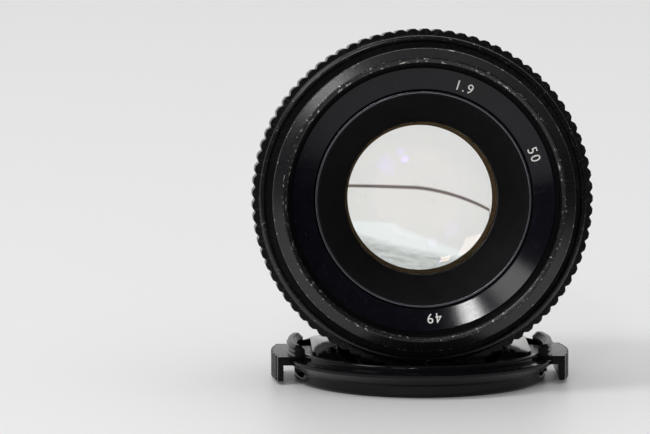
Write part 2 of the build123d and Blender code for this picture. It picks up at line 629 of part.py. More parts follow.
def make_stop_down_pin():
    """Stop-down pin with its collar, the guide behind the pad and the spring between them."""
    tail = -THREAD_LENGTH - PIN_PROUD
    floor_front = -GUIDE_LENGTH + GUIDE_FLOOR
    bore_r = PIN_COLLAR_R + RUN_FIT
    guide = ring(
        (PIN_R + RUN_FIT, -GUIDE_LENGTH),
        (bore_r + GUIDE_WALL, -GUIDE_LENGTH),
        (bore_r + GUIDE_WALL, 0),
        (bore_r, 0),
        (bore_r, floor_front),
        (PIN_R + RUN_FIT, floor_front),
    )
    collar_front = floor_front + RUN_FIT + PIN_COLLAR_THICK
    pin = ring(
        (0, tail),
        (PIN_R * PIN_NOSE, tail),
        (PIN_R, tail + PIN_R * (1 - PIN_NOSE)),
        (PIN_R, floor_front + RUN_FIT),
        (PIN_COLLAR_R, floor_front + RUN_FIT),
        (PIN_COLLAR_R, collar_front),
        (PIN_R, collar_front),
        (PIN_R, FLANGE_THICK + RUN_GAP),
        (0, FLANGE_THICK + RUN_GAP),
    )
    coil_r = (PIN_R + bore_r) / 2
    coil = spring(coil_r, PIN_SPRING_WIRE_R, PIN_SPRING_TURNS, -collar_front - 2 * RUN_FIT)
    place = Rot(0, 0, PIN_ANGLE) * Pos(pin_out(), 0, 0)
    pieces["pin_guide"] = place * guide
    pieces["stop_down_pin"] = place * pin
    pieces["pin_spring"] = place * Pos(0, 0, collar_front + RUN_FIT) * coil


# ---------------------------------------------------------------- fixed barrel
def make_fixed_barrel():
    """Hub for the aperture ring, shoulder behind the focusing ring, sleeve under the helicoid."""
    barrel = ring(
        (HUB_BORE_R, FLANGE_THICK),
        (HUB_R, FLANGE_THICK),
        (HUB_R, HUB_FRONT),
        (SHOULDER_R, HUB_FRONT),
        (SHOULDER_R, SHOULDER_FRONT),
        (SLEEVE_R, SHOULDER_FRONT),
        (SLEEVE_R, SLEEVE_FRONT - EDGE),
        (SLEEVE_R - EDGE, SLEEVE_FRONT),
        (SLEEVE_BORE_R, SLEEVE_FRONT),
        (SLEEVE_BORE_R, HUB_FRONT),
        (HUB_BORE_R, HUB_FRONT),
    )
    screw_r = HUB_BORE_R + HUB_WALL / 2
    for angle in MOUNT_SCREW_ANGLES:
        barrel -= rod(MOUNT_SCREW_R + SEAT_FIT, 0, MOUNT_SCREW_LENGTH + 2 * BOTTOM, screw_r, angle)
    spread = degrees(FORK_WIDTH / 2 / HUB_BORE_R) + FORK_SPARE
    fork_low = FORK_BACK - RUN_GAP
    fork_high = FORK_BACK + FORK_THICK + RUN_GAP
    barrel -= sector(HUB_BORE_R - CUT, HUB_R + CUT, fork_low, fork_high,
                     -spread, APERTURE_TURN + spread)
    barrel -= spoke(DETENT_BALL_R + SEAT_FIT, HUB_BORE_R + DETENT_FLOOR, HUB_R + CUT,
                    detent_height(), DETENT_ANGLE)
    for angle in GRUB_ANGLES:
        barrel -= spoke(GRUB_R + SEAT_FIT, SHOULDER_R - GRUB_DEPTH - BOTTOM, SHOULDER_R + CUT,
                        index_grub_height(), angle)
    for angle in KEY_ANGLES:
        barrel -= spoke(KEY_SCREW_R + SEAT_FIT, SLEEVE_BORE_R - CUT, SLEEVE_R + CUT, key_middle(), angle)
    foot = HUB_FRONT + STOP_PIN_FLOOR
    barrel -= rod(STOP_PIN_R + SEAT_FIT, foot, SHOULDER_FRONT + CUT, stop_pin_out(), STOP_ANGLE)
    pieces["fixed_barrel"] = barrel
    stop_front = SHOULDER_FRONT + STOP_PIN_RISE
    pieces["focus_stop_pin"] = rod(STOP_PIN_R, foot + SEAT_FIT, stop_front, stop_pin_out(), STOP_ANGLE)


def detent_height():
    """Height of the click ball, under the numbers of the aperture ring."""
    return APERTURE_BACK + APERTURE_KNURL_LENGTH + DETENT_SETBACK


def index_grub_height():
    """Height of the grub screws that hold the index ring."""
    return HUB_FRONT + SHOULDER_THICK / 2


def key_middle():
    """Height of the middle of the guide keys."""
    return SHOULDER_FRONT + KEY_BACK + KEY_LENGTH / 2


def stop_pin_out():
    """Distance of the focus stop pin from the optical axis."""
    return (SLEEVE_R + LIP_R) / 2


def make_barrel_fittings():
    """Index ring, its grub screws, the retainer of the focusing ring, keys and click ball."""
    index = ring(
        (SHOULDER_R + SEAT_FIT, HUB_FRONT),
        (INDEX_R - EDGE, HUB_FRONT),
        (INDEX_R, HUB_FRONT + EDGE),
        (INDEX_R, INDEX_FRONT),
        (SHOULDER_R + SEAT_FIT, INDEX_FRONT),
    )
    grubs = []
    height = index_grub_height()
    for angle in GRUB_ANGLES:
        index -= spoke(GRUB_R + SEAT_FIT, SHOULDER_R - CUT, INDEX_R + CUT, height, angle)
        grubs.append(spoke(GRUB_R, SHOULDER_R - GRUB_DEPTH, INDEX_R - GRUB_SUNK, height, angle))
    pieces["index_ring"] = index
    pieces["index_ring_screws"] = Compound(grubs)

    retainer = tube(SLEEVE_R + SEAT_FIT, SLEEVE_R + RETAINER_WALL, RETAINER_BACK, RETAINER_FRONT)
    half = RETAINER_NOTCH / 2
    for angle in RETAINER_NOTCH_ANGLES:
        notch = block(SLEEVE_R - CUT, TUBE_R, -half, half, RETAINER_FRONT - RETAINER_NOTCH_DEPTH,
                      RETAINER_FRONT + CUT)
        retainer -= Rot(0, 0, angle) * notch
    pieces["focus_retainer"] = retainer

    keys = []
    key_screws = []
    for angle in KEY_ANGLES:
        half = KEY_WIDTH / 2
        low = key_middle() - KEY_LENGTH / 2
        key = block(SLEEVE_BORE_R, SLEEVE_R + KEY_HEIGHT, -half, half, low, low + KEY_LENGTH)
        key &= tube(SLEEVE_R + SEAT_FIT, SLEEVE_R + KEY_HEIGHT, low, low + KEY_LENGTH)
        place = Rot(0, 0, angle)
        keys.append(place * key - spoke(KEY_SCREW_R + SEAT_FIT, SLEEVE_BORE_R, TUBE_R + CUT,
                                        key_middle(), angle))
        key_screws.append(spoke(KEY_SCREW_R, SLEEVE_BORE_R + EDGE, SLEEVE_R + KEY_HEIGHT - BOTTOM,
                                key_middle(), angle))
    pieces["guide_keys"] = Compound(keys)
    pieces["guide_key_screws"] = Compound(key_screws)

    ball_out = HUB_R + DETENT_PROUD - DETENT_BALL_R
    place = Rot(0, 0, DETENT_ANGLE) * Pos(ball_out, 0, detent_height())
    pieces["detent_ball"] = place * Sphere(DETENT_BALL_R)
    spring_base = HUB_BORE_R + DETENT_FLOOR + SEAT_FIT
    coil = spring(DETENT_SPRING_R, DETENT_SPRING_WIRE_R, DETENT_SPRING_TURNS,
                  ball_out - DETENT_BALL_R - SEAT_FIT - spring_base)
    place = Rot(0, 0, DETENT_ANGLE) * Pos(spring_base, 0, detent_height()) * Rot(0, 90, 0)
    pieces["detent_spring"] = place * coil


# ---------------------------------------------------------------- aperture ring
def make_aperture_ring():
    """Ring with a knurled band behind and a smooth band for the numbers, and its fork."""
    knurl_front = APERTURE_BACK + APERTURE_KNURL_LENGTH
    bore_r = HUB_R + RUN_FIT
    body = ring(
        (bore_r, APERTURE_BACK),
        (APERTURE_SCALE_R, APERTURE_BACK),
        (APERTURE_SCALE_R, APERTURE_FRONT - EDGE),
        (APERTURE_SCALE_R - EDGE, APERTURE_FRONT),
        (bore_r, APERTURE_FRONT),
    )
    body += toothed_band(APERTURE_TEETH, APERTURE_R, APERTURE_TOOTH_DEPTH, APERTURE_TIP_SHARE,
                         HUB_R + FORK_ROOT, APERTURE_BACK, knurl_front)
    groove_half = DETENT_BALL_R + RUN_GAP
    body -= tube(bore_r - CUT, HUB_R + DETENT_GROOVE, detent_height() - groove_half,
                 detent_height() + groove_half)
    for click in range(APERTURE_STOPS + 1):
        angle = DETENT_ANGLE - click * APERTURE_TURN / APERTURE_STOPS
        notch_r = HUB_R + DETENT_GROOVE + DETENT_NOTCH
        body -= spoke(DETENT_BALL_R * DETENT_NOTCH_SHARE, HUB_R - CUT, notch_r, detent_height(), angle)
    root_r = HUB_R + FORK_ROOT
    half = FORK_WIDTH / 2
    seat = block(HUB_R - CUT, root_r + SEAT_FIT, -half - SEAT_FIT, half + SEAT_FIT,
                 FORK_BACK - SEAT_FIT, FORK_BACK + FORK_THICK + SEAT_FIT)
    pieces["aperture_ring"] = body - seat

    lever_r = LEVER_INNER_R + LEVER_THICK
    fork = block(LEVER_INNER_R - FORK_TIP, root_r, -half, half, FORK_BACK, FORK_BACK + FORK_THICK)
    slot_half = LEVER_WIDTH / 2 + SLIDE_FIT
    fork -= block(LEVER_INNER_R - CUT, lever_r + FORK_SLOT, -slot_half, slot_half,
                  FORK_BACK - CUT, FORK_BACK + FORK_THICK + CUT)
    pieces["aperture_fork"] = fork


# ---------------------------------------------------------------- focusing ring
def make_focusing_ring():
    """Knurled ring: thread for the helicoid, lip that holds it, seat for the distance ring."""
    seat_r = RING_SEAT_R
    bore_r = TUBE_R + RUN_FIT
    floor_r = GRIP_R - GRIP_GROOVE_DEPTH
    shoulder_inner = LIP_SHOULDER_R - LIP_SHOULDER_WIDTH
    body = ring(
        (SLEEVE_R + RUN_FIT, LIP_BACK),
        (LIP_R, LIP_BACK),
        (LIP_R, DISTANCE_BACK),
        (seat_r, DISTANCE_BACK),
        (seat_r, GRIP_BACK),
        (floor_r, GRIP_BACK),
        (floor_r, GRIP_FRONT),
        (LIP_SHOULDER_R, GRIP_FRONT),
        (LIP_SHOULDER_R, RING_FRONT - 3 * SHOULDER_ROUND),
        (LIP_SHOULDER_R - SHOULDER_ROUND, RING_FRONT - SHOULDER_ROUND),
        (LIP_SHOULDER_R - 3 * SHOULDER_ROUND, RING_FRONT),
        (shoulder_inner, RING_FRONT),
        (shoulder_inner, RECESS_FRONT),
        (bore_r, RECESS_FRONT),
        (bore_r, LIP_FRONT),
        (SLEEVE_R + RUN_FIT, LIP_FRONT),
    )
    for row in range(GRIP_ROWS):
        low = GRIP_BACK + row * (GRIP_ROW_LENGTH + GRIP_GROOVE)
        body += toothed_band(GRIP_TEETH, GRIP_R, GRIP_TOOTH_DEPTH, GRIP_TIP_SHARE,
                             floor_r - CUT, low, low + GRIP_ROW_LENGTH)
    margin = degrees((STOP_PIN_R + RUN_GAP) / stop_pin_out())
    half = STOP_PIN_R + RUN_GAP
    body -= sector(stop_pin_out() - half, stop_pin_out() + half, LIP_BACK - CUT,
                   SHOULDER_FRONT + STOP_PIN_RISE + RUN_GAP,
                   STOP_ANGLE - FOCUS_TURN - margin, STOP_ANGLE + margin)
    grubs = []
    band = tube(seat_r + SEAT_FIT, DISTANCE_R, DISTANCE_BACK, GRIP_BACK)
    for angle in GRUB_ANGLES:
        height = DISTANCE_BACK + DISTANCE_LENGTH / 2
        body -= spoke(GRUB_R + SEAT_FIT, seat_r - GRUB_DEPTH, seat_r + CUT, height, angle)
        band -= spoke(GRUB_R + SEAT_FIT, seat_r - CUT, DISTANCE_R + CUT, height, angle)
        grubs.append(spoke(GRUB_R, seat_r - GRUB_DEPTH + BOTTOM, DISTANCE_R - GRUB_SUNK, height, angle))
    pieces["focus_ring"] = body
    pieces["distance_ring"] = band
    pieces["distance_ring_screws"] = Compound(grubs)


# ---------------------------------------------------------------- moving unit
def make_moving_barrel():
    """Helicoid tube with its keyways, and the core that hangs in it and carries both cells."""
    helicoid = ring(
        (TUBE_BORE_R, TUBE_BACK),
        (TUBE_R, TUBE_BACK),
        (TUBE_R, TUBE_FRONT),
        (TUBE_BORE_R, TUBE_FRONT),
        (TUBE_BORE_R, WEB_FRONT),
        (CORE_R + SEAT_FIT, WEB_FRONT),
        (CORE_R + SEAT_FIT, WEB_FRONT - WEB_THICK),
        (TUBE_BORE_R, WEB_FRONT - WEB_THICK),
    )
    slot_half = KEY_WIDTH / 2 + SLIDE_FIT
    slot_front = key_middle() + KEY_LENGTH / 2 + KEY_SPARE
    for angle in KEY_ANGLES:
        slot = block(SLEEVE_R - CUT, TUBE_R + CUT, -slot_half, slot_half, TUBE_BACK - CUT, slot_front)
        helicoid -= Rot(0, 0, angle) * slot

    flange_front = WEB_FRONT + CORE_FLANGE_THICK
    core = ring(
        (REAR_SPIGOT_R, CORE_BACK),
        (CORE_R, CORE_BACK),
        (CORE_R, WEB_FRONT),
        (CORE_FLANGE_R, WEB_FRONT),
        (CORE_FLANGE_R, flange_front),
        (CORE_BORE_R, flange_front),
        (CORE_BORE_R, CORE_FLOOR_FRONT),
        (REAR_SPIGOT_R, CORE_FLOOR_FRONT),
    )
    spread = degrees((LEVER_WIDTH / 2 + LEVER_CLEAR) / LEVER_INNER_R)
    core -= sector(LEVER_INNER_R - LEVER_CLEAR, LEVER_INNER_R + LEVER_THICK + LEVER_CLEAR,
                   CORE_BACK - CUT, CORE_FLOOR_FRONT + CUT, -spread, APERTURE_TURN + spread)
    screw_out = (CORE_R + CORE_FLANGE_R) / 2
    hole = countersunk_hole(CORE_SCREW_R, CORE_SCREW_HEAD_R, CORE_SCREW_LENGTH + BOTTOM)
    screw = countersunk_screw(CORE_SCREW_R, CORE_SCREW_HEAD_R, CORE_SCREW_LENGTH)
    screws = []
    for angle in CORE_SCREW_ANGLES:
        place = Rot(0, 0, angle) * Pos(screw_out, 0, flange_front)
        core -= place * hole
        helicoid -= place * hole
        screws.append(place * Pos(0, 0, -SEAT_FIT) * screw)
    pieces["moving_helicoid"] = helicoid
    pieces["lens_core"] = core
    pieces["core_screws"] = Compound(screws)


def make_front_rim():
    """Front rim with the filter thread, and the conical name ring at the bottom of the thread."""
    rim = ring(
        (TUBE_R + SEAT_FIT, SKIRT_BACK),
        (RIM_R, SKIRT_BACK),
        (RIM_R, RIM_FRONT - RIM_BEVEL_LENGTH),
        (RIM_EDGE_R, RIM_FRONT - RIM_WORN),
        (RIM_EDGE_R - 2 * RIM_WORN, RIM_FRONT),
        (FILTER_R + RIM_WORN, RIM_FRONT - RIM_WORN),
        (FILTER_BORE_R, FILTER_MOUTH),
        (FILTER_BORE_R, THREAD_BACK),
        (NAME_RING_R + SEAT_FIT, THREAD_BACK),
        (NAME_RING_R + SEAT_FIT, SHELF_FRONT),
        (CELL_NECK_R + NECK_CLEAR, SHELF_FRONT),
        (CELL_NECK_R + NECK_CLEAR, SHELF_BACK),
        (TUBE_BORE_R - SEAT_FIT, SHELF_BACK),
        (TUBE_BORE_R - SEAT_FIT, TUBE_FRONT),
        (TUBE_R + SEAT_FIT, TUBE_FRONT),
    )
    name_ring = ring(
        (NAME_RING_BORE_R, SHELF_FRONT),
        (NAME_RING_R, SHELF_FRONT),
        (NAME_RING_R, THREAD_BACK),
        (NAME_RING_EDGE_R, THREAD_BACK),
        (NAME_RING_BORE_R, SHELF_FRONT + NAME_RING_LOW),
    )
    pieces["front_rim"] = rim
    pieces["name_ring"] = name_ring


def make_front_cell():
    """Front cell with the doublet's seat, the spacer between its elements and the black cone."""
    land_r = FRONT_HOLLOW_R + HOLLOW_LAND
    land = glass_height(5, FRONT_HOLLOW_R)
    bevel_top = land + bevel_drop(FRONT_DOUBLET_R, FRONT_HOLLOW_R)
    shelf = glass_height(3, FRONT_DOUBLET_R) + 2 * RUN_FIT
    cone_low = glass_height(1, CONE_HOLE_R) + RUN_GAP
    hole_top = FRONT_VERTEX + CONE_HOLE_HEIGHT
    cone_top = CELL_FRONT - CONE_SUNK
    slope = (CONE_MOUTH_R - CONE_HOLE_R) / (cone_top - hole_top)
    collar_r = ELEMENT_1_R
    collar_top = hole_top - CONE_COLLAR
    cone_r = CONE_MOUTH_R + CONE_LIP
    flare_top = collar_top + (cone_r - collar_r) / slope
    neck_back = CELL_FRONT - CELL_NECK_LENGTH
    clear_r = FRONT_HOLLOW_R + CELL_OPENING

    cone = ring(
        (CONE_HOLE_R, cone_low),
        (collar_r, cone_low),
        (collar_r, collar_top),
        (cone_r, flare_top),
        (cone_r, cone_top),
        (CONE_MOUTH_R, cone_top),
        (CONE_HOLE_R, hole_top),
    )
    cell = ring(
        (clear_r, CELL_BACK),
        (CORE_BORE_R - SEAT_FIT, CELL_BACK),
        (CORE_BORE_R - SEAT_FIT, neck_back),
        (CELL_NECK_R, neck_back),
        (CELL_NECK_R, CELL_FRONT - CELL_EDGE),
        (CELL_NECK_R - CELL_EDGE, CELL_FRONT),
        (cone_r + SEAT_FIT, CELL_FRONT),
        (cone_r + SEAT_FIT, flare_top),
        (collar_r + 2 * SEAT_FIT, collar_top),
        (ELEMENT_1_R + 2 * SEAT_FIT, shelf),
        (FRONT_DOUBLET_R + SEAT_FIT, shelf),
        (FRONT_DOUBLET_R + SEAT_FIT, bevel_top - SEAT_FIT),
        (land_r + SEAT_FIT, land - SEAT_FIT),
        (clear_r, land - SEAT_FIT),
    )
    inner_low = FRONT_DOUBLET_R - SPACER_WALL
    inner_high = ELEMENT_1_R - SPACER_FACE
    spacer = ring(
        (inner_low, glass_height(3, inner_low) + RUN_GAP),
        (FRONT_DOUBLET_R, shelf),
        (ELEMENT_1_R, shelf),
        (ELEMENT_1_R, glass_height(2, ELEMENT_1_R) - SEAT_FIT),
        (inner_high, glass_height(2, ELEMENT_1_R) - SEAT_FIT),
    )
    pieces["front_cone"] = cone
    pieces["front_cell"] = cell
    pieces["front_spacer"] = spacer


def make_rear_cell():
    """Rear cell, screwed into the core's floor, with its spacer and retaining ring."""
    land_r = REAR_HOLLOW_R + HOLLOW_LAND
    land = glass_height(6, REAR_HOLLOW_R)
    bevel_low = land - bevel_drop(REAR_DOUBLET_R, REAR_HOLLOW_R)
    cell_back = vertex(10) - REAR_LIP
    step = glass_height(8, REAR_DOUBLET_R) - RUN_FIT
    bore_6 = ELEMENT_6_R + SEAT_FIT
    clear_r = REAR_HOLLOW_R + REAR_OPENING
    cell = ring(
        (clear_r, land + SEAT_FIT),
        (land_r, land + SEAT_FIT),
        (REAR_DOUBLET_R + SEAT_FIT, bevel_low + SEAT_FIT),
        (REAR_DOUBLET_R + SEAT_FIT, step),
        (bore_6, step),
        (bore_6, cell_back),
        (REAR_CELL_END_R, cell_back),
        (REAR_CELL_R, cell_back + REAR_TAPER),
        (REAR_CELL_R, CORE_BACK - REAR_CELL_FLANGE),
        (REAR_CELL_FLANGE_R, CORE_BACK - REAR_CELL_FLANGE),
        (REAR_CELL_FLANGE_R, CORE_BACK),
        (REAR_SPIGOT_R - SEAT_FIT, CORE_BACK),
        (REAR_SPIGOT_R - SEAT_FIT, CORE_FLOOR_FRONT - RUN_GAP),
        (clear_r, CORE_FLOOR_FRONT - RUN_GAP),
    )
    spacer_r = REAR_DOUBLET_R - SPACER_WALL
    spacer_low = glass_height(9, spacer_r) + SEAT_FIT
    spacer = ring(
        (spacer_r, spacer_low),
        (ELEMENT_6_R, spacer_low),
        (ELEMENT_6_R, step - RUN_FIT),
        (REAR_DOUBLET_R, step - RUN_FIT),
        (spacer_r, glass_height(8, spacer_r) - 2 * RUN_FIT),
    )
    retainer_top = glass_height(10, ELEMENT_6_R) - SEAT_FIT
    retainer_r = ELEMENT_6_R - REAR_RETAINER_WALL
    retainer_back = cell_back + REAR_RETAINER_SUNK
    retainer = ring(
        (retainer_r, glass_height(10, retainer_r) - RUN_FIT),
        (ELEMENT_6_R, retainer_top),
        (ELEMENT_6_R, retainer_back),
        (retainer_r + REAR_RETAINER_FLARE, retainer_back),
    )
    half = REAR_NOTCH / 2
    notch_top = retainer_back + REAR_NOTCH_DEPTH
    retainer -= both_sides(block(retainer_r - CUT, ELEMENT_6_R + CUT, -half, half,
                                 retainer_back - CUT, notch_top))
    pieces["rear_cell"] = cell
    pieces["rear_spacer"] = spacer
    pieces["rear_retainer"] = retainer


# ---------------------------------------------------------------- iris
def turned(point, angle, centre=Vector(0, 0)):
    """A point turned round a centre by an angle in degrees."""
    x, y = point.X - centre.X, point.Y - centre.Y
    c, s = cos(radians(angle)), sin(radians(angle))
    return Vector(centre.X + c * x - s * y, centre.Y + s * x + c * y)


def cam_point(share):
    """Drive pin as the cam plate sees it, at a share of the whole movement.

    Blade and plate keep one constant ratio: the blade swings share * BLADE_SWING about its pivot
    while the plate turns share * APERTURE_TURN about the axis.
    """
    pivot = polar(PIVOT_R, 0)
    pin = turned(polar(DRIVE_R, DRIVE_ANGLE), share * BLADE_SWING, pivot)
    return turned(pin, -share * APERTURE_TURN)


def cam_slot_face():
    """Slot along the drive pin's path, wide enough for the pin and round at both ends."""
    half = BLADE_PIN_R + CAM_FIT
    nudge = 0.01
    sides = {1: [], -1: []}
    for step in range(CAM_STEPS + 1):
        share = step / CAM_STEPS
        along = (cam_point(share + nudge) - cam_point(share - nudge)).normalized()
        across = Vector(-along.Y, along.X)
        for side in sides:
            sides[side].append(cam_point(share) + across * half * side)
    run = (cam_point(nudge) - cam_point(0)).normalized() * half
    stop = (cam_point(1) - cam_point(1 - nudge)).normalized() * half
    left = Spline(*sides[1])
    right = Spline(*sides[-1])
    first = ThreePointArc(sides[1][0], cam_point(0) - run, sides[-1][0])
    last = ThreePointArc(sides[1][-1], cam_point(1) + stop, sides[-1][-1])
    return make_face(left + right + first + last)


def blade_outline():
    """Crescent between two arcs, with a lug that carries the pivot and the drive pin."""
    inner_start, inner_end = polar(BLADE_INNER_R, BLADE_TAIL), polar(BLADE_INNER_R, BLADE_TIP)
    outer_start, outer_end = polar(BLADE_OUTER_R, BLADE_TAIL), polar(BLADE_OUTER_R, BLADE_TIP)
    middle = (BLADE_TAIL + BLADE_TIP) / 2
    inner = ThreePointArc(inner_start, polar(BLADE_INNER_R, middle), inner_end)
    outer = ThreePointArc(outer_start, polar(BLADE_OUTER_R, middle), outer_end)
    tail = Line(inner_start, outer_start)
    tip = Line(inner_end, outer_end)
    crescent = make_face(inner + outer + tail + tip)
    crescent = fillet(crescent.vertices().sort_by(Axis.X)[:2], BLADE_TAIL_ROUND)
    pivot, drive = polar(PIVOT_R, 0), polar(DRIVE_R, DRIVE_ANGLE)
    arm = drive - pivot
    lug = Pos(pivot) * Circle(BLADE_LUG_R) + Pos(drive) * Circle(BLADE_LUG_R)
    bridge = Pos((pivot + drive) * 0.5) * Rot(0, 0, degrees(atan2(arm.Y, arm.X)))
    lug += bridge * Rectangle(arm.length, 2 * BLADE_LUG_R)
    root_r = (BLADE_OUTER_R + PIVOT_R) / 2 - BLADE_ROOT_SHIFT
    root = Pos(polar(root_r, BLADE_ROOT_ANGLE)) * Rot(0, 0, BLADE_ROOT_ANGLE)
    return crescent + lug + root * Rectangle(*BLADE_ROOT)


def make_iris():
    """Housing with the fixed stop, six blades one above the other, cam plate, lever and clip."""
    bore_r = HOUSING_BORE_R
    plate_back = HOUSING_FRONT - HOUSING_PLATE
    housing = ring(
        (FIXED_STOP_R + HOUSING_OPENING, plate_back),
        (bore_r, plate_back),
        (bore_r, CORE_FLOOR_FRONT),
        (HOUSING_R, CORE_FLOOR_FRONT),
        (HOUSING_R, HOUSING_FRONT),
        (FIXED_STOP_R, HOUSING_FRONT),
    )
    clip_low = CORE_FLOOR_FRONT + ACTUATOR_RISE - RUN_GAP - CIRCLIP_THICK
    groove_r = bore_r + CIRCLIP_GROOVE
    housing -= tube(bore_r - CUT, groove_r, clip_low - SEAT_FIT, clip_low + CIRCLIP_THICK + SEAT_FIT)
    outline = blade_outline()
    pin_low = CORE_FLOOR_FRONT + ACTUATOR_RISE + RUN_FIT
    for number in range(BLADES):
        angle = number * 360 / BLADES
        housing -= rod(BLADE_PIN_R + SLIDE_FIT, plate_back - CUT, HOUSING_FRONT + CUT, PIVOT_R, angle)
        top = plate_back - RUN_FIT - number * BLADE_PITCH
        low = top - BLADE_THICK
        blade = Pos(0, 0, low) * extrude(outline, BLADE_THICK)
        blade += rod(BLADE_PIN_R, low, HOUSING_FRONT - RUN_FIT, PIVOT_R, 0)
        blade += rod(BLADE_PIN_R, pin_low, top, DRIVE_R, DRIVE_ANGLE)
        pieces[f"iris_blade_{number + 1}"] = Rot(0, 0, angle) * blade
    pieces["iris_housing"] = housing

    cam_low = CORE_FLOOR_FRONT + ACTUATOR_RISE
    cam = tube(ACTUATOR_BORE_R, bore_r - RUN_FIT, cam_low, cam_low + ACTUATOR_THICK)
    slot = Pos(0, 0, cam_low - CUT) * extrude(cam_slot_face(), ACTUATOR_THICK + 2 * CUT)
    for number in range(BLADES):
        cam -= Rot(0, 0, number * 360 / BLADES) * slot
    pieces["iris_cam_plate"] = cam

    half = LEVER_WIDTH / 2
    lever_r = LEVER_INNER_R + LEVER_THICK
    foot_low = cam_low - LEVER_FOOT
    lever = block(LEVER_INNER_R, lever_r, -half, half, LEVER_TAIL, cam_low)
    lever += block(ACTUATOR_BORE_R + LEVER_LAND, lever_r, -half, half, foot_low, cam_low)
    pieces["aperture_lever"] = lever

    start = APERTURE_TURN / 2 + 180 + CIRCLIP_GAP / 2
    pieces["iris_circlip"] = sector(CIRCLIP_BORE_R, groove_r - CIRCLIP_CLEAR, clip_low,
                                    clip_low + CIRCLIP_THICK, start, start + 360 - CIRCLIP_GAP)


# ---------------------------------------------------------------- clip-on front cap
def box_inner_x():
    """Inner end of a spring box, just clear of the knurl that lies between the two boxes."""
    rise = BOX_TOP - CAP_FLOOR_TOP - REST_GAP
    return sqrt(GRIP_R ** 2 - (GRIP_R - rise) ** 2) + BOX_LENS_GAP


def box_outer_x():
    """Outer end of a spring box, just clear of a tab's arc when the tab is pressed home."""
    arc_inner = TAB_ARC_R - TAB_ARC_WALL
    return sqrt(arc_inner ** 2 - TAB_ARC_HALF ** 2) - TAB_TRAVEL - RUN_GAP


def nest_top():
    """Top of the nest that the spring lies in, under the sloping end of its box."""
    middle = (TONGUE_LOW + TONGUE_TOP) / 2
    return middle + CAP_SPRING_R + CAP_SPRING_WIRE_R + CAP_SPRING_CLEAR


def nest_end_x():
    """Inner end of the spring's nest, where the slope still covers it with a full roof."""
    slope = (BOX_RISE - BOX_TOE_RISE) / BOX_TOE
    return box_inner_x() - (BOX_TOP - BOX_ROOF - nest_top()) / slope


def both_sides(shape):
    """A shape on the +X side and its mirror image on the -X side."""
    return shape + mirror(shape, Plane.YZ)


def make_cap_body():
    """Face, wall and flange of the cap, open on both sides for the tabs."""
    wall_r = CAP_R - CAP_WALL
    body = ring(
        (0, 0),
        (CAP_R - CAP_FACE_EDGE, 0),
        (CAP_R, CAP_FACE_EDGE),
        (CAP_R, CAP_SLOPE_LOW),
        (CAP_FLANGE_R - CAP_FACE_EDGE, CAP_SLOPE_HIGH),
        (CAP_FLANGE_R, CAP_SLOPE_HIGH + EDGE),
        (CAP_FLANGE_R, CAP_FLANGE_TOP),
        (CAP_R, CAP_FLANGE_TOP),
        (CAP_R, CAP_RIM_TOP - EDGE),
        (CAP_R - EDGE, CAP_RIM_TOP),
        (wall_r, CAP_RIM_TOP),
        (wall_r, CAP_LEDGE),
        (wall_r - CAP_SEAT, CAP_LEDGE),
        (wall_r - CAP_SEAT, CAP_FACE),
        (0, CAP_FACE),
    )
    gap = CAP_SLOT_HALF
    outside = CAP_FLANGE_R + CUT
    body -= both_sides(block(box_outer_x(), outside, -gap, gap, CAP_LEDGE, CAP_RIM_TOP + CUT))
    pieces["cap_body"] = body


def make_cap_cover():
    """Inner cover: the floor that the lens lies on, with a spring box at each side."""
    floor = rod(CAP_FLOOR_R, CAP_LEDGE, CAP_FLOOR_TOP)
    floor += rod(CAP_R - CAP_WALL - CAP_SEAT - SEAT_FIT, CAP_FACE, CAP_LEDGE)
    inner = box_inner_x()
    outer = box_outer_x()
    foot = (inner - BOX_TOE, CAP_FLOOR_TOP + BOX_TOE_RISE)
    outline = [(foot[0], CAP_LEDGE), foot, (inner, BOX_TOP), (outer, BOX_TOP), (outer, CAP_LEDGE)]
    side_view = make_face(Polyline(*outline, close=True))
    boxes = extrude(Plane.XZ * side_view, BOX_HALF, both=True)
    floor += both_sides(boxes & rod(CAP_FLOOR_R, CAP_LEDGE, BOX_TOP))
    roof = BOX_TOP - BOX_ROOF
    side = BOX_HALF - BOX_SIDE
    mouth_x = outer - BOX_WALL
    room = block(inner + BOX_WALL, mouth_x, -side, side, CAP_LEDGE, roof)
    nest = CAP_SPRING_R + CAP_SPRING_WIRE_R + CAP_SPRING_CLEAR
    room += block(nest_end_x(), inner + BOX_WALL + CUT, -nest, nest, CAP_LEDGE, nest_top())
    mouth = block(mouth_x - CUT, outer + CUT, -MOUTH_HALF, MOUTH_HALF, CAP_LEDGE, roof)
    slot = CAP_SLOT_HALF
    edge = block(outer, CAP_R, -slot, slot, CAP_FACE - CUT, CAP_FLOOR_TOP + CUT)
    pieces["cap_cover"] = floor - both_sides(room) - both_sides(mouth) - both_sides(edge)


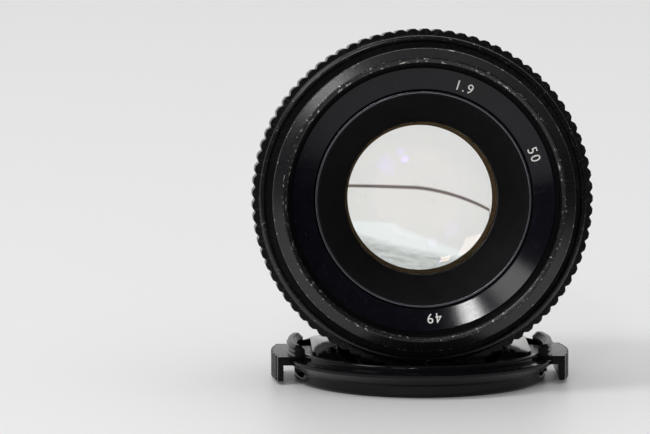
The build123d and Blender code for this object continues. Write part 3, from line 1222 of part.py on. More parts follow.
def make_cap_tabs():
    """Two sprung tabs: ribbed finger pad, catch for the filter thread and tongue with hooks."""
    half = TAB_HALF
    pad_inner = TAB_PAD_X - TAB_PAD_THICK
    pad = block(pad_inner, TAB_PAD_X + CUT, -half, half, TAB_PAD_LOW, TAB_PAD_TOP)
    swell = TAB_PAD_X - half * half / (2 * TAB_PAD_X)
    pad &= rod(TAB_PAD_X, TAB_PAD_LOW, TAB_PAD_TOP) + block(0, swell, -half, half, 0, TAB_PAD_TOP)
    for rib in range(TAB_RIBS):
        y = (rib - (TAB_RIBS - 1) / 2) * 2 * half / (TAB_RIBS + 0.5)
        x = sqrt(TAB_PAD_X ** 2 - y * y)
        pad -= Pos(x, y, 0) * rod(TAB_RIB_DEPTH, 0, TAB_PAD_TOP + CUT)
    root_r = TAB_ARC_R - TAB_CATCH
    inner_r = TAB_ARC_R - TAB_ARC_WALL
    arc = ring((inner_r, TAB_WEB_LOW), (root_r, TAB_WEB_LOW), (root_r, TAB_ARC_TOP),
               (inner_r + TAB_ARC_EDGE, TAB_ARC_TOP), (inner_r, TAB_ARC_TOP - TAB_ARC_EDGE))
    body_r = root_r - TAB_CATCH
    for catch in range(TAB_CATCHES):
        middle = TAB_ARC_TOP - 2 * TAB_CATCH - catch * TAB_CATCH_PITCH
        low, high = middle - TAB_CATCH, middle + TAB_CATCH
        arc += ring((body_r, low), (root_r, low), (TAB_ARC_R, middle), (root_r, high), (body_r, high))
    arc &= block(0, TAB_ARC_R + CUT, -TAB_ARC_HALF, TAB_ARC_HALF, 0, TAB_ARC_TOP)
    web = block(inner_r, pad_inner + JOIN, -half, half, TAB_WEB_LOW, TAB_PAD_TOP)
    web &= rod(TAB_PAD_X, TAB_WEB_LOW, TAB_PAD_TOP)
    hook_x = box_outer_x() - BOX_WALL - RUN_GAP
    tongue_outer = inner_r + JOIN
    tongue = block(hook_x - JOIN, tongue_outer, -TONGUE_HALF, TONGUE_HALF, TONGUE_LOW, TONGUE_TOP)
    tongue += block(hook_x - HOOK_LENGTH, hook_x, -HOOK_HALF, HOOK_HALF, TONGUE_LOW, TONGUE_TOP)
    tab = pad + web + arc + tongue
    pieces["cap_tab_right"] = tab
    pieces["cap_tab_left"] = mirror(tab, Plane.YZ)

    base = nest_end_x() + SEAT_FIT
    room = hook_x - HOOK_LENGTH - SEAT_FIT - base
    coil = spring(CAP_SPRING_R, CAP_SPRING_WIRE_R, CAP_SPRING_TURNS, room)
    middle = (TONGUE_LOW + TONGUE_TOP) / 2
    coil = Pos(base, 0, middle) * Rot(0, 90, 0) * coil
    pieces["cap_spring_right"] = coil
    pieces["cap_spring_left"] = mirror(coil, Plane.YZ)


# ---------------------------------------------------------------- build and write
make_cap_body()
make_cap_cover()
make_cap_tabs()
cap_nodes = set(pieces)
make_glass()
make_mount()
make_switch()
make_stop_down_pin()
make_fixed_barrel()
make_barrel_fittings()
make_aperture_ring()
make_focusing_ring()
make_moving_barrel()
make_front_rim()
make_front_cell()
make_rear_cell()
make_iris()

for name, piece in pieces.items():
    placed = piece if name in cap_nodes else LENS_PLACE * piece
    export_step(placed, f"parts/{name}.step")

print(f"{len(pieces)} nodes")
print(f"lens axis tilted {degrees(TILT):.3f} degrees, seating face {FLANGE_HEIGHT:.3f} mm up")
print(f"front edge {RIM_FRONT:.2f} mm ahead of the seating face")
print(f"blade swing {BLADE_SWING:.3f} degrees over {APERTURE_TURN:.0f} degrees of ring")
print(f"focusing {FOCUS_TRAVEL / 1000 / radians(FOCUS_TURN):.6f} m per radian")
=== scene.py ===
# %% [markdown]
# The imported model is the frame. Its nodes are the lens's own pieces at their real size, so
# every position below is read from it. The optical axis and the seating face come from the
# focusing joint, because that joint turns about the axis and has its origin on the face.
# %% Load the frame
import json
from math import cos, pi, radians, sin, sqrt

import bmesh
import bpy
import numpy as np
from mathutils import Matrix, Vector

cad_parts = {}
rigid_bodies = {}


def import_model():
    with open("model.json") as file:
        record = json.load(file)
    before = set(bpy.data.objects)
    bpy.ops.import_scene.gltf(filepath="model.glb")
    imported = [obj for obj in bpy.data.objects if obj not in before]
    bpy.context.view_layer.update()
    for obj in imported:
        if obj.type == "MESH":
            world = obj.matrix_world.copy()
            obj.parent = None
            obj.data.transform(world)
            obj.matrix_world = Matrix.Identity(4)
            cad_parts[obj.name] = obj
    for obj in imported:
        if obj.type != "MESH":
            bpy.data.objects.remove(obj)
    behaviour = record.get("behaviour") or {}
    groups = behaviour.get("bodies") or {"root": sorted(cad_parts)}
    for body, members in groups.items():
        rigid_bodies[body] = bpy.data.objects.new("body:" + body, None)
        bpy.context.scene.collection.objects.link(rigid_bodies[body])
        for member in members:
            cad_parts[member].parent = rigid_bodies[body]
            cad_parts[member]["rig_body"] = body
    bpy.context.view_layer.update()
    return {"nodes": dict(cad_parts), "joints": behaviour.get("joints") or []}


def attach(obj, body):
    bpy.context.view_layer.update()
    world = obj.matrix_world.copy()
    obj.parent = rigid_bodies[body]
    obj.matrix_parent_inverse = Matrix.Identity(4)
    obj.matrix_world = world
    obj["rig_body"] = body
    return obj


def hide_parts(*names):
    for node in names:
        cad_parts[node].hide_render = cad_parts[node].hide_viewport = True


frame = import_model()
MM = 0.001                                 # one millimetre, in the scene's metres
joints = {joint["name"]: joint for joint in frame["joints"]}
AHEAD = Vector(joints["focus_turn"]["axis"]).normalized()
SEAT = Vector(joints["focus_turn"]["pos_m"])
RIGHT = Vector((1, 0, 0))
UP = AHEAD.cross(RIGHT)
AXES = np.array([RIGHT, UP, AHEAD])

# %% [markdown]
# Most of a lens is turned on a lathe, so its pieces are easiest to say as a radius and a
# height ahead of the seating face. Two small functions go from that system to the scene and
# back, and the others read a node's corners, radii and heights, so that no position has to be
# typed by hand.
# %% The lens's own system
def out_of_the_lens(points):
    """Scene places of lens points: seat + x right + y up + z ahead, with x, y, z in mm."""
    return np.array(SEAT) + np.asarray(points, float) @ AXES * MM


def into_the_lens(points):
    """Lens places of scene points: the offsets from the seat along the three axes, in mm."""
    return (np.asarray(points, float) - np.array(SEAT)) @ AXES.T / MM


def read_corners(elements, name="co"):
    """The vectors of that name of a mesh's corners or faces, as an array with three columns."""
    vectors = np.empty(len(elements) * 3)
    elements.foreach_get(name, vectors)
    return vectors.reshape(-1, 3)


def corners_of(node):
    """Lens places of all corners of a node's mesh, in mm."""
    return into_the_lens(read_corners(frame["nodes"][node].data.vertices))


def radii_of(places):
    """Distances from the optical axis: the square root of x^2 + y^2."""
    return np.hypot(places[:, 0], places[:, 1])


def span(node):
    """Inner radius, outer radius, back and front of a node round the optical axis, in mm."""
    places = corners_of(node)
    radii = radii_of(places)
    return radii.min(), radii.max(), places[:, 2].min(), places[:, 2].max()


rim_in, rim_out, rim_back, rim_front = span("front_rim")
print(f"front rim: radius {rim_in:.2f} to {rim_out:.2f} mm, {rim_back:.2f} to {rim_front:.2f} mm "
      "ahead of the seat")

# %% [markdown]
# The shapes made below have to fit their neighbours, so each starts from the section of its
# own node. A section could be typed from a drawing, but then it would be wrong after any change
# of the drawing. Here the node's mesh is cut by a half plane, as with a saw.
# %% Sections of turned nodes
def merged(node):
    """The node's mesh as a bmesh whose loose triangles are joined along their edges."""
    shape = bmesh.new()
    shape.from_mesh(frame["nodes"][node].data)
    bmesh.ops.remove_doubles(shape, verts=shape.verts, dist=2e-6)
    return shape


def straightened(outline, slack):
    """The closed outline without each corner that lies within slack of its neighbours' chord."""
    points = [np.array(point) for point in outline]
    place = 0
    while place < len(points) and len(points) > 4:
        before, here, after = points[place - 1], points[place], points[(place + 1) % len(points)]
        chord = after - before
        away = abs(chord[0] * (here - before)[1] - chord[1] * (here - before)[0])
        if away <= slack * max(np.linalg.norm(chord), 1e-9):
            del points[place]
            place = max(place - 1, 0)
        else:
            place += 1
    return np.array(points)


def walked_round(edges):
    """Takes a list of edges apart into loops, each a list of corners in order. The edges wait
    in a dict and not in a set, because a set hands them out in another order in every run."""
    waiting = dict.fromkeys(edges)
    loops = []
    while waiting:
        edge = next(iter(waiting))
        del waiting[edge]
        loop = [edge.verts[0], edge.verts[1]]
        while True:
            following = next((e for e in loop[-1].link_edges if e in waiting), None)
            if following is None:
                break
            del waiting[following]
            loop.append(following.other_vert(loop[-1]))
        loops.append(loop[:-1] if loop[-1] is loop[0] else loop)
    return loops


def section(node, angle=0.6, slack=0.004):
    """The outline of a turned node, as rows of radius and height: its mesh is cut by the half
    plane at that angle in degrees, and the longest loop of the cut is returned."""
    out = cos(radians(angle)) * RIGHT + sin(radians(angle)) * UP
    shape = merged(node)
    cut = bmesh.ops.bisect_plane(shape, geom=shape.verts[:] + shape.edges[:] + shape.faces[:],
                                 dist=1e-8, plane_co=SEAT, plane_no=AHEAD.cross(out))
    edges = [edge for edge in cut["geom_cut"] if isinstance(edge, bmesh.types.BMEdge)
             and ((edge.verts[0].co + edge.verts[1].co) / 2 - SEAT).dot(out) > 0]
    loop = max(walked_round(edges), key=len)
    outline = [((vert.co - SEAT).dot(out) / MM, (vert.co - SEAT).dot(AHEAD) / MM)
               for vert in loop]
    shape.free()
    return straightened(outline, slack)


rim = section("front_rim")
print(f"the front rim's section has {len(rim)} corners")

# %% [markdown]
# The edges of machined metal are never sharp, so each corner of an outline gets a small round,
# and the rounds are remembered as places where the finish wears off. A thread or a rib needs
# more rows than the outline has, so a stretch of it can be divided.
# %% Rounded and divided outlines
def rounded(outline, size, steps=3):
    """A closed outline with its corners rounded: each corner P becomes the curve
    (1-t)^2 A + 2t(1-t) P + t^2 B between points A and B at most size away from it, with one
    row more on each side. The third column is the wear, which is 1 on the outward corners."""
    outline = np.asarray(outline, float)[:, :2]
    ahead = np.roll(outline, -1, axis=0) - outline
    area = np.sum(outline[:, 0] * np.roll(outline[:, 1], -1) - outline[:, 1]
                  * np.roll(outline[:, 0], -1)) / 2
    rows = []
    for place, corner in enumerate(outline):
        back, front = -ahead[place - 1], ahead[place]
        reach = min(size, 0.3 * np.linalg.norm(back), 0.3 * np.linalg.norm(front))
        start = corner + back / np.linalg.norm(back) * reach
        end = corner + front / np.linalg.norm(front) * reach
        turn = (front[1] * -back[0] - front[0] * -back[1]) * np.sign(area)
        sharp = turn > 0.2 * np.linalg.norm(back) * np.linalg.norm(front)
        rows.append((*(corner + (start - corner) * 1.6), 0))
        for t in np.linspace(0, 1, steps + 1):
            bend = (1 - t) ** 2 * start + 2 * t * (1 - t) * corner + t ** 2 * end
            rows.append((*bend, 1.0 if sharp else 0.0))
        rows.append((*(corner + (end - corner) * 1.6), 0))
    return np.array(rows)


def divided(outline, low, high, inner, outer, step):
    """The outline with rows no more than step apart wherever it lies between the heights low
    and high and the radii inner and outer."""
    rows = []
    for here, after in zip(outline, np.roll(outline, -1, axis=0)):
        rows.append(here)
        middle = (here + after) / 2
        if low < middle[1] < high and inner < middle[0] < outer:
            count = int(np.linalg.norm((after - here)[:2]) / step)
            rows += [here + (after - here) * share for share in np.arange(1, count) / max(count, 1)]
    return np.array(rows)


print(f"with rounds of 0.14 mm it has {len(rounded(rim, 0.14))} rows")

# %% [markdown]
# A turned piece could be a Screw modifier on a drawn curve, but teeth, threads and wear then
# need other tools. Here it is a grid of numbers: one way runs along the outline, the other
# round the axis, and both ways close on themselves.
# %% Turned pieces
def smooth_piece(mesh, wear=None, bend=50):
    """An object from a mesh: its wear is kept as an attribute of the corners, and it is shaded
    smoothly but for edges that bend by more than the given degrees."""
    if wear is not None:
        mesh.attributes.new("wear", "FLOAT", "POINT").data.foreach_set("value", wear.astype("f4"))
    mesh.polygons.foreach_set("use_smooth", [True] * len(mesh.polygons))
    mesh.set_sharp_from_angle(angle=radians(bend))
    piece = bpy.data.objects.new(mesh.name, mesh)
    bpy.context.scene.collection.objects.link(piece)
    return piece


def piece_from(name, points, faces, wear=None):
    """A piece made of points in metres and faces, turned outwards by the sign of its volume,
    which is a sixth of the sum of a . (b x c) over its triangles."""
    mesh = bpy.data.meshes.new(name)
    mesh.from_pydata(points.tolist(), [], faces)
    mesh.update()
    shape = bmesh.new()
    shape.from_mesh(mesh)
    if shape.calc_volume(signed=True) < 0:
        bmesh.ops.reverse_faces(shape, faces=shape.faces)
    shape.to_mesh(mesh)
    shape.free()
    return smooth_piece(mesh, wear)


def grid_faces(rows, columns, closed=True):
    """Four-cornered faces between neighbouring rows and columns of a grid numbered row by row.
    The columns always close on themselves, and the rows do where closed is true."""
    row = np.arange(rows if closed else rows - 1)[:, None]
    column = np.arange(columns)[None, :]
    following = (row + 1) % rows
    beside = (column + 1) % columns
    quads = (row * columns + column, row * columns + beside,
             following * columns + beside, following * columns + column)
    return np.stack(np.broadcast_arrays(*quads), -1).reshape(-1, 4).tolist()


def turned(name, outline, turns=240, shape=None):
    """A closed ring: the outline point of radius r and height h goes to (r cos a, r sin a, h)
    for each angle a. turns is their count or the angles. shape(a, r, h) is added to r."""
    angles = np.arange(turns) * 2 * pi / turns if np.isscalar(turns) else np.asarray(turns)
    outline = np.asarray(outline, float)
    radius = outline[:, 0][:, None] + 0 * angles[None, :]
    height = outline[:, 1][:, None] + 0 * radius
    if shape:
        radius = radius + shape(angles[None, :] + 0 * radius, radius, height)
    points = np.stack((radius * np.cos(angles), radius * np.sin(angles), height), -1)
    wear = np.repeat(outline[:, 2], len(angles)) if outline.shape[1] > 2 else None
    return piece_from(name, out_of_the_lens(points.reshape(-1, 3)),
                      grid_faces(len(outline), len(angles)), wear)


def stand_in(piece, node, coat):
    """The piece takes a node's place: it rides on the node's body and has its finish."""
    piece.data.materials.clear()
    piece.data.materials.append(coat)
    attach(piece, frame["nodes"][node]["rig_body"])
    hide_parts(node)
    return piece


print(f"a grid of 4 rows and 240 columns has {len(grid_faces(4, 240))} faces")

# %% [markdown]
# A finish is a small tree of nodes. Trees are easier to read as formulas than as lists of
# links, so each kind of node gets a short function that adds it and returns its result.
# %% Nodes as formulas
def add(tree, kind, inputs=None, **settings):
    """A new shader node with its settings. An input that is a socket is linked, and any other
    input is set as a value."""
    node = tree.nodes.new("ShaderNode" + kind)
    for key, value in settings.items():
        setattr(node, key, value)
    for key, value in (inputs or {}).items():
        if isinstance(value, bpy.types.NodeSocket):
            tree.links.new(value, node.inputs[key])
        else:
            node.inputs[key].default_value = value
    return node


def times(tree, first, second, operation="MULTIPLY"):
    """The product of two values, or another operation on them."""
    return add(tree, "Math", {0: first, 1: second}, operation=operation).outputs[0]


def stretched(tree, value, low, high, to_low=0.0, to_high=1.0):
    """The value's range from low to high spread over to_low to to_high, and held there."""
    return add(tree, "MapRange", {"Value": value, "From Min": low, "From Max": high,
                                  "To Min": to_low, "To Max": to_high}).outputs[0]


def mixed(tree, share, first, second):
    """A colour that goes from the first to the second as the share goes from 0 to 1."""
    return add(tree, "Mix", {0: share, 6: first, 7: second}, data_type="RGBA").outputs[2]


def mixed_value(tree, share, first, second):
    """A value that goes from the first to the second as the share goes from 0 to 1."""
    return add(tree, "Mix", {0: share, 2: first, 3: second}).outputs[0]


def noise(tree, place, scale, detail=3.0, rough=0.55):
    """Smooth noise from 0 to 1 whose blobs are about 1/scale units of the place wide."""
    return add(tree, "TexNoise", {"Vector": place, "Scale": scale, "Detail": detail,
                                  "Roughness": rough}).outputs["Fac"]


def new_material(name):
    """A material with its node tree and its main shader."""
    material = bpy.data.materials.new(name)
    material.use_nodes = True
    return material, material.node_tree, material.node_tree.nodes["Principled BSDF"]


print("node helpers:", *(maker.__name__ for maker in (times, stretched, mixed, mixed_value, noise)))

# %% [markdown]
# Patterns on the lens are measured in millimetres. Object coordinates stay with a piece when it
# moves, and the mapping turns them until z lies along the optical axis, so that lathe marks
# can follow the real turning. Two more places make rings and dashes out of plain noise.
# %% Where a pattern lies
DASHES_ROUND = 13.0                        # how often a dash begins, for each radian of turn


def lens_place(tree):
    """Object coordinates in the lens's own system: 1000 times larger, turned, and moved so
    that the seat is the origin."""
    turn = Matrix((RIGHT, UP, AHEAD))
    coordinates = add(tree, "TexCoord").outputs["Object"]
    return add(tree, "Mapping", {"Vector": coordinates, "Scale": (1 / MM,) * 3,
                                 "Rotation": turn.to_euler(),
                                 "Location": -(turn @ SEAT) / MM}).outputs[0]


def round_place(tree, place):
    """The point (distance from the axis, height ahead, 0), which is the same all the way round
    a turned piece. Noise that is read there makes rings, as a lathe does."""
    parts = add(tree, "SeparateXYZ", {0: place})
    flat = add(tree, "CombineXYZ", {"X": parts.outputs["X"], "Y": parts.outputs["Y"]})
    out = add(tree, "VectorMath", {0: flat.outputs[0]}, operation="LENGTH").outputs["Value"]
    return add(tree, "CombineXYZ", {"X": out, "Y": parts.outputs["Z"]}).outputs[0]


def along_place(tree, place):
    """The point (13 x angle round the axis, 2 x distance from it, 2 x height). Noise that is
    read there makes short dashes along a turned edge, like the marks of many screwed filters."""
    parts = add(tree, "SeparateXYZ", {0: place})
    angle = times(tree, parts.outputs["Y"], parts.outputs["X"], "ARCTAN2")
    ring = add(tree, "SeparateXYZ", {0: round_place(tree, place)})
    return add(tree, "CombineXYZ", {"X": times(tree, angle, DASHES_ROUND),
                                    "Y": times(tree, ring.outputs["X"], 2.0),
                                    "Z": times(tree, ring.outputs["Y"], 2.0)}).outputs[0]


print("patterns are turned by", Matrix((RIGHT, UP, AHEAD)).to_euler())

# %% [markdown]
# Old black lenses are never clean. Dust settles in specks and is thicker in some places than
# in others, and handling leaves hair scratches. Each is a layer that takes the colour so far
# and returns it changed, so that a finish can leave out what its surface doesn't have.
# %% Dust and scratches
DUST = (0.115, 0.098, 0.082, 1)            # brownish dust
SCRATCH = (0.16, 0.155, 0.15, 1)           # a hair scratch that doesn't reach the metal


def dusted(tree, place, base, rough, dust):
    """Colour and roughness under specks of dust: noise above a limit that falls with the
    dust's share, thinner where a second, broad noise is low."""
    specks = stretched(tree, noise(tree, place, 5.5, 4, 0.7), 0.72 - 0.3 * dust, 0.8 - 0.25 * dust)
    drift = stretched(tree, noise(tree, place, 0.22, 2), 0.34, 0.62, 0.25, 1.0)
    amount = times(tree, specks, drift)
    return (mixed(tree, times(tree, amount, 0.75), base, DUST),
            times(tree, rough, times(tree, amount, 0.35), "ADD"))


def scratched(tree, place, base, scratches):
    """Colour with hair scratches: the borders between scattered cells, broken by noise."""
    lines = add(tree, "TexVoronoi", {"Vector": place, "Scale": 0.45, "Randomness": 1.0},
                feature="DISTANCE_TO_EDGE").outputs["Distance"]
    hair = times(tree, stretched(tree, lines, 0.012 * scratches, 0.0),
                 stretched(tree, noise(tree, place, 1.6, 3), 0.52, 0.62))
    return mixed(tree, times(tree, hair, 0.6), base, SCRATCH)


print("dust has the colour", DUST[:3])

# %% [markdown]
# Where hands and filters rub, the black comes off the edges and bright metal shows. The corner
# rounds carry that as their wear, and noise decides which parts of them are bare. The lathe
# and the blasting leave fine marks, which catch the light. They are too small to model, so
# they only bend the normal.
# %% Wear and fine marks
BARE = (0.56, 0.53, 0.49, 1)               # worn aluminium under the black
BARE_ROUGHNESS = 0.34
DASHES_SHARE = 0.905                       # how far dashes reach against spots in the wear
WEAR_LIMIT, WEAR_DROP = 0.70, 0.12         # the wear's limit of noise, and its fall when full
BUMP_HEIGHT = 0.02 * MM                    # the highest mark or grain in the bump


def worn(tree, place, base, rough, metallic, wear, bare):
    """Colour, roughness and metal share with bare metal where the piece's wear is 1 and the
    higher of two noises, spots or dashes, is above a limit that falls with the wear's share."""
    edge = add(tree, "Attribute", attribute_name="wear").outputs["Fac"]
    spots = noise(tree, place, 1.1, 8, 0.72)
    dashes = times(tree, noise(tree, along_place(tree, place), 1.0, 4, 0.6), DASHES_SHARE)
    limit = WEAR_LIMIT - WEAR_DROP * wear
    chips = stretched(tree, times(tree, spots, dashes, "MAXIMUM"), limit, limit + 0.03)
    amount = times(tree, edge, chips)
    return (mixed(tree, amount, base, bare), mixed_value(tree, amount, rough, BARE_ROUGHNESS),
            stretched(tree, amount, 0, 1, metallic, 1.0))


def bumped(tree, place, marks, grain):
    """The bent normal of lathe rings times marks plus fine grain times its own strength."""
    rings = times(tree, noise(tree, round_place(tree, place), 7.0, 3, 0.7), marks)
    fine = times(tree, noise(tree, place, 9.0, 2), grain)
    return add(tree, "Bump", {"Height": times(tree, rings, fine, "ADD"), "Distance": BUMP_HEIGHT,
                              "Strength": 1.0}).outputs[0]


print(f"where the wear is full, bare metal shows above {WEAR_LIMIT - WEAR_DROP:.2f} of the noise")

# %% [markdown]
# One function makes every finish, because all of them are the same layers in other amounts.
# The colour and the roughness wander a little round their values first: paint of one even
# colour looks like a drawing.
# %% A finish
def finish(name, colour, roughness, metallic=0.0, marks=0.0, grain=0.0, uneven=0.25, wear=0.0,
           dust=0.0, scratches=0.0, specular=0.5, coat=0.0, bare=BARE):
    """A finish for a turned or moulded surface: the colour is uneven by that share, roughness
    wanders round its value, marks and grain are the strengths of the lathe rings and of the
    fine grain in the bump, and wear, dust and scratches are the shares that they cover."""
    material, tree, shader = new_material(name)
    place = lens_place(tree)
    dark = (*[part * (1 - uneven) for part in colour], 1)
    light = (*[min(part * (1 + uneven), 1) for part in colour], 1)
    base = mixed(tree, stretched(tree, noise(tree, place, 0.35, 4), 0.3, 0.7), dark, light)
    rough = stretched(tree, noise(tree, place, 2.2, 5, 0.65), 0.3, 0.7,
                      roughness * 0.82, min(roughness * 1.2, 1))
    if dust:
        base, rough = dusted(tree, place, base, rough, dust)
    if scratches:
        base = scratched(tree, place, base, scratches)
    if wear:
        base, rough, metal = worn(tree, place, base, rough, metallic, wear, bare)
        tree.links.new(metal, shader.inputs["Metallic"])
    else:
        shader.inputs["Metallic"].default_value = metallic
    if marks or grain:
        tree.links.new(bumped(tree, place, marks, grain), shader.inputs["Normal"])
    tree.links.new(base, shader.inputs["Base Color"])
    tree.links.new(rough, shader.inputs["Roughness"])
    shader.inputs["Specular IOR Level"].default_value = specular
    shader.inputs["Coat Weight"].default_value = coat
    shader.inputs["Coat Roughness"].default_value = 0.05
    return material


print("a finish has the layers", *(layer.__name__ for layer in (dusted, scratched, worn, bumped)))

# %% [markdown]
# The finishes are named after what the maker did: anodised black that is satin on the outside
# and polished on the shoulder, gloss black on the name ring, matt paint where stray light must
# die, bare turned metal at the mount, and two plastics on the cap. A black that looks the same
# by its colour differs in how rough it is, so the numbers after the colours matter most.
# %% Finishes
SATIN_BLACK = finish("satin_black", (0.0060, 0.0060, 0.0068), 0.36, marks=0.5, wear=0.5,
                     dust=0.12, specular=0.45)
WORN_BLACK = finish("worn_black", (0.0042, 0.0042, 0.0050), 0.29, grain=0.35, wear=1.0, dust=0.05,
                    specular=0.54)
GRIP_BLACK = finish("grip_black", (0.005, 0.005, 0.0054), 0.32, wear=0.4, dust=0.2,
                    specular=0.45)
SHOULDER_BLACK = finish("shoulder_black", (0.004, 0.004, 0.0045), 0.2, marks=0.12, wear=0.6,
                        dust=0.08, scratches=1.0, specular=0.5)
RECESS_BLACK = finish("recess_black", (0.003, 0.003, 0.0034), 0.5, dust=0.55, specular=0.12)
GLOSS_BLACK = finish("gloss_black", (0.0035, 0.0035, 0.0062), 0.11, marks=0.06, wear=0.1,
                     dust=0.06, scratches=0.3, specular=0.30)
# a wear of 6 lays bare bluish metal on every rounded edge all round: partly a bare edge, partly a
# painted highlight line
CELL_BLACK_PAINTED_EDGE_LIGHT = finish("cell_black_painted_edge_light", (0.004, 0.004, 0.005), 0.25, marks=0.2, wear=6.0,
                    specular=0.45, bare=(0.30, 0.30, 0.34, 1))
MATT_BLACK = finish("matt_black", (0.0058, 0.0058, 0.0066), 0.6, marks=0.4, dust=0.05,
                    specular=0.16)
BARE_METAL = finish("bare_metal", (0.56, 0.56, 0.565), 0.30, 1.0, marks=0.7, scratches=0.6,
                    dust=0.04, uneven=0.08)
STEEL = finish("bright_steel", (0.52, 0.52, 0.53), 0.26, 1.0, grain=0.25, uneven=0.1)
BRASS = finish("turned_brass", (0.66, 0.47, 0.20), 0.30, 1.0, marks=0.6, uneven=0.12)
BLUED_STEEL = finish("blued_steel", (0.024, 0.026, 0.034), 0.42, 0.8, grain=0.25, uneven=0.5)
CAP_BLACK = finish("cap_black", (0.0032, 0.0032, 0.004), 0.10, grain=0.05, wear=0.1, dust=0.05,
                   specular=0.2, coat=0.05)
TAB_BLACK = finish("tab_black", (0.0035, 0.0035, 0.004), 0.28, grain=0.06, wear=0.1, dust=0.05,
                   specular=0.14)
# darker and duller than the rim's black: painted shade for the shadow inside the thread
THREAD_SHADE_BLACK = finish("thread_shade_black", (0.0015, 0.0015, 0.0018), 0.42, dust=0.04, specular=0.1)
DEEP_BLACK = finish("deep_black", (0.0025, 0.0025, 0.0028), 0.8, grain=0.4, specular=0.03)
print(f"{len(bpy.data.materials)} materials")

# %% [markdown]
# Lens glass is clear, and its coating shows only as a faint purple in reflections. A thin film
# on the shader gives that colour from the coat's real thickness. Two kinds are needed, because
# the two hollow elements are of another glass. A breath of haze keeps both from looking like
# air.
# %% Glass
COAT_NANOMETRES = 103                      # a quarter of a wave of green light in the coat
COAT_IOR = 1.38                            # magnesium fluoride


def glass_of(name, ior, tint):
    """Clear glass of a refractive index with one thin coating, a little haze and a few paler
    places, where the noise is high."""
    material, tree, shader = new_material(name)
    shader.inputs["Transmission Weight"].default_value = 1.0
    shader.inputs["IOR"].default_value = ior
    shader.inputs["Thin Film Thickness"].default_value = COAT_NANOMETRES
    shader.inputs["Thin Film IOR"].default_value = COAT_IOR
    place = lens_place(tree)
    film = stretched(tree, noise(tree, place, 0.2, 3), 0.45, 0.75, 0.0, 0.006)
    tree.links.new(film, shader.inputs["Roughness"])
    clean = mixed(tree, stretched(tree, noise(tree, place, 1.1, 2), 0.70, 0.74),
                  (*tint, 1), (*[part * 0.93 for part in tint], 1))
    tree.links.new(clean, shader.inputs["Base Color"])
    return material


CROWN_GLASS = glass_of("crown_glass", 1.78, (0.999, 0.997, 0.993))
FLINT_GLASS = glass_of("flint_glass", 1.68, (0.998, 0.996, 0.992))
print("glass:", CROWN_GLASS.name, FLINT_GLASS.name)

# %% [markdown]
# The camera stands 0.95 m in front of the lens with a long lens of its own, a little to the
# left and above, so that the ring faces stay nearly round. It aims a little to the left of the
# axis.
# %% Camera
AIM = Vector((-0.0172, 0.0, 0.0295))
DISTANCE = 0.95
AZIMUTH, ELEVATION = radians(1.70), radians(7.72)
LONG_LENS = 290.8                          # focal length of the camera's own lens, in mm
looking = Vector((sin(AZIMUTH) * cos(ELEVATION), cos(AZIMUTH) * cos(ELEVATION), -sin(ELEVATION)))
camera = bpy.data.objects.new("camera", bpy.data.cameras.new("camera"))
bpy.context.scene.collection.objects.link(camera)
camera.location = AIM - looking * DISTANCE
camera.rotation_euler = looking.to_track_quat("-Z", "Y").to_euler()
camera.data.lens = LONG_LENS
camera.data.clip_end = 50
bpy.context.scene.camera = camera
print(f"camera at {tuple(round(value, 3) for value in camera.location)} m")

# %% [markdown]
# What shows through the glass, upside down, is the far part of the table and the room beyond
# its edge. The glasses bend every ray from the camera through their rear focus, so a place
# behind the lens is best said as it is seen from there: how far to the side it lies for each
# metre away, and one over its distance on the table. Rays above the table's horizon get the
# same two numbers, the second one below zero. A real room could stand there instead, but rays
# that have crossed twelve glass faces have no bounces left for its light, so they see these
# colours directly.
# %% What the glass shows
FOCUS_AWAY = 0.045                         # where the rear focus lies, in metres along the table
FOCUS_HIGH = 0.030                         # and how high it lies
EDGE_SIDE, EDGE_NEAR = 0.082, 6.02         # side and nearness at which the table's edge bends
FAR_TABLE = (0.885, 0.84, 0.835, 1)
# the table's edge in shade, painted as a dark line in the image behind the lens
SHADED_TABLE_EDGE = (0.05, 0.04, 0.04, 1)               # the dark edge of the table
WALL = (0.90, 0.855, 0.835, 1)             # rosy
CLOTH = (1.0, 0.995, 0.985, 1)             # white
CLOTH_SHADE = (0.50, 0.50, 0.49, 1)


def table_edge(tree, side):
    """Nearness of the table's edge: 6.02 + 1.7 (side - 0.082) on one side of its bend and
    6.02 - 18.3 (0.082 - side)^1.65 on the other."""
    bend = times(tree, EDGE_SIDE, side, "SUBTRACT")
    rise = times(tree, times(tree, bend, -1.7), 0.0, "MAXIMUM")
    drop = times(tree, times(tree, times(tree, bend, 0.0, "MAXIMUM"), 1.65, "POWER"), 18.3)
    return times(tree, times(tree, rise, EDGE_NEAR, "ADD"), drop, "SUBTRACT")


def wall_and_cloth(tree, side, nearness):
    """Colour beyond the edge: a rosy wall with a white fold of cloth below one slanting line,
    and the fold's woven grey shade below a second one."""
    offset = times(tree, side, 0.139, "SUBTRACT")
    fold_top = times(tree, times(tree, offset, 0.02, "MINIMUM"), 15.0)
    fold_low = times(tree, times(tree, offset, 7.7), 3.3, "SUBTRACT")
    fold = stretched(tree, times(tree, nearness, fold_top, "SUBTRACT"), 0.25, -0.45)
    shade = stretched(tree, times(tree, nearness, fold_low, "SUBTRACT"), 0.3, -0.9)
    weave_place = add(tree, "CombineXYZ", {"X": times(tree, side, 9.0),
                                           "Y": times(tree, nearness, 0.9)}).outputs[0]
    weave = stretched(tree, noise(tree, weave_place, 1.6, 4, 0.6), 0.35, 0.65, 0.45, 1.0)
    return mixed(tree, times(tree, shade, weave), mixed(tree, fold, WALL, CLOTH), CLOTH_SHADE)


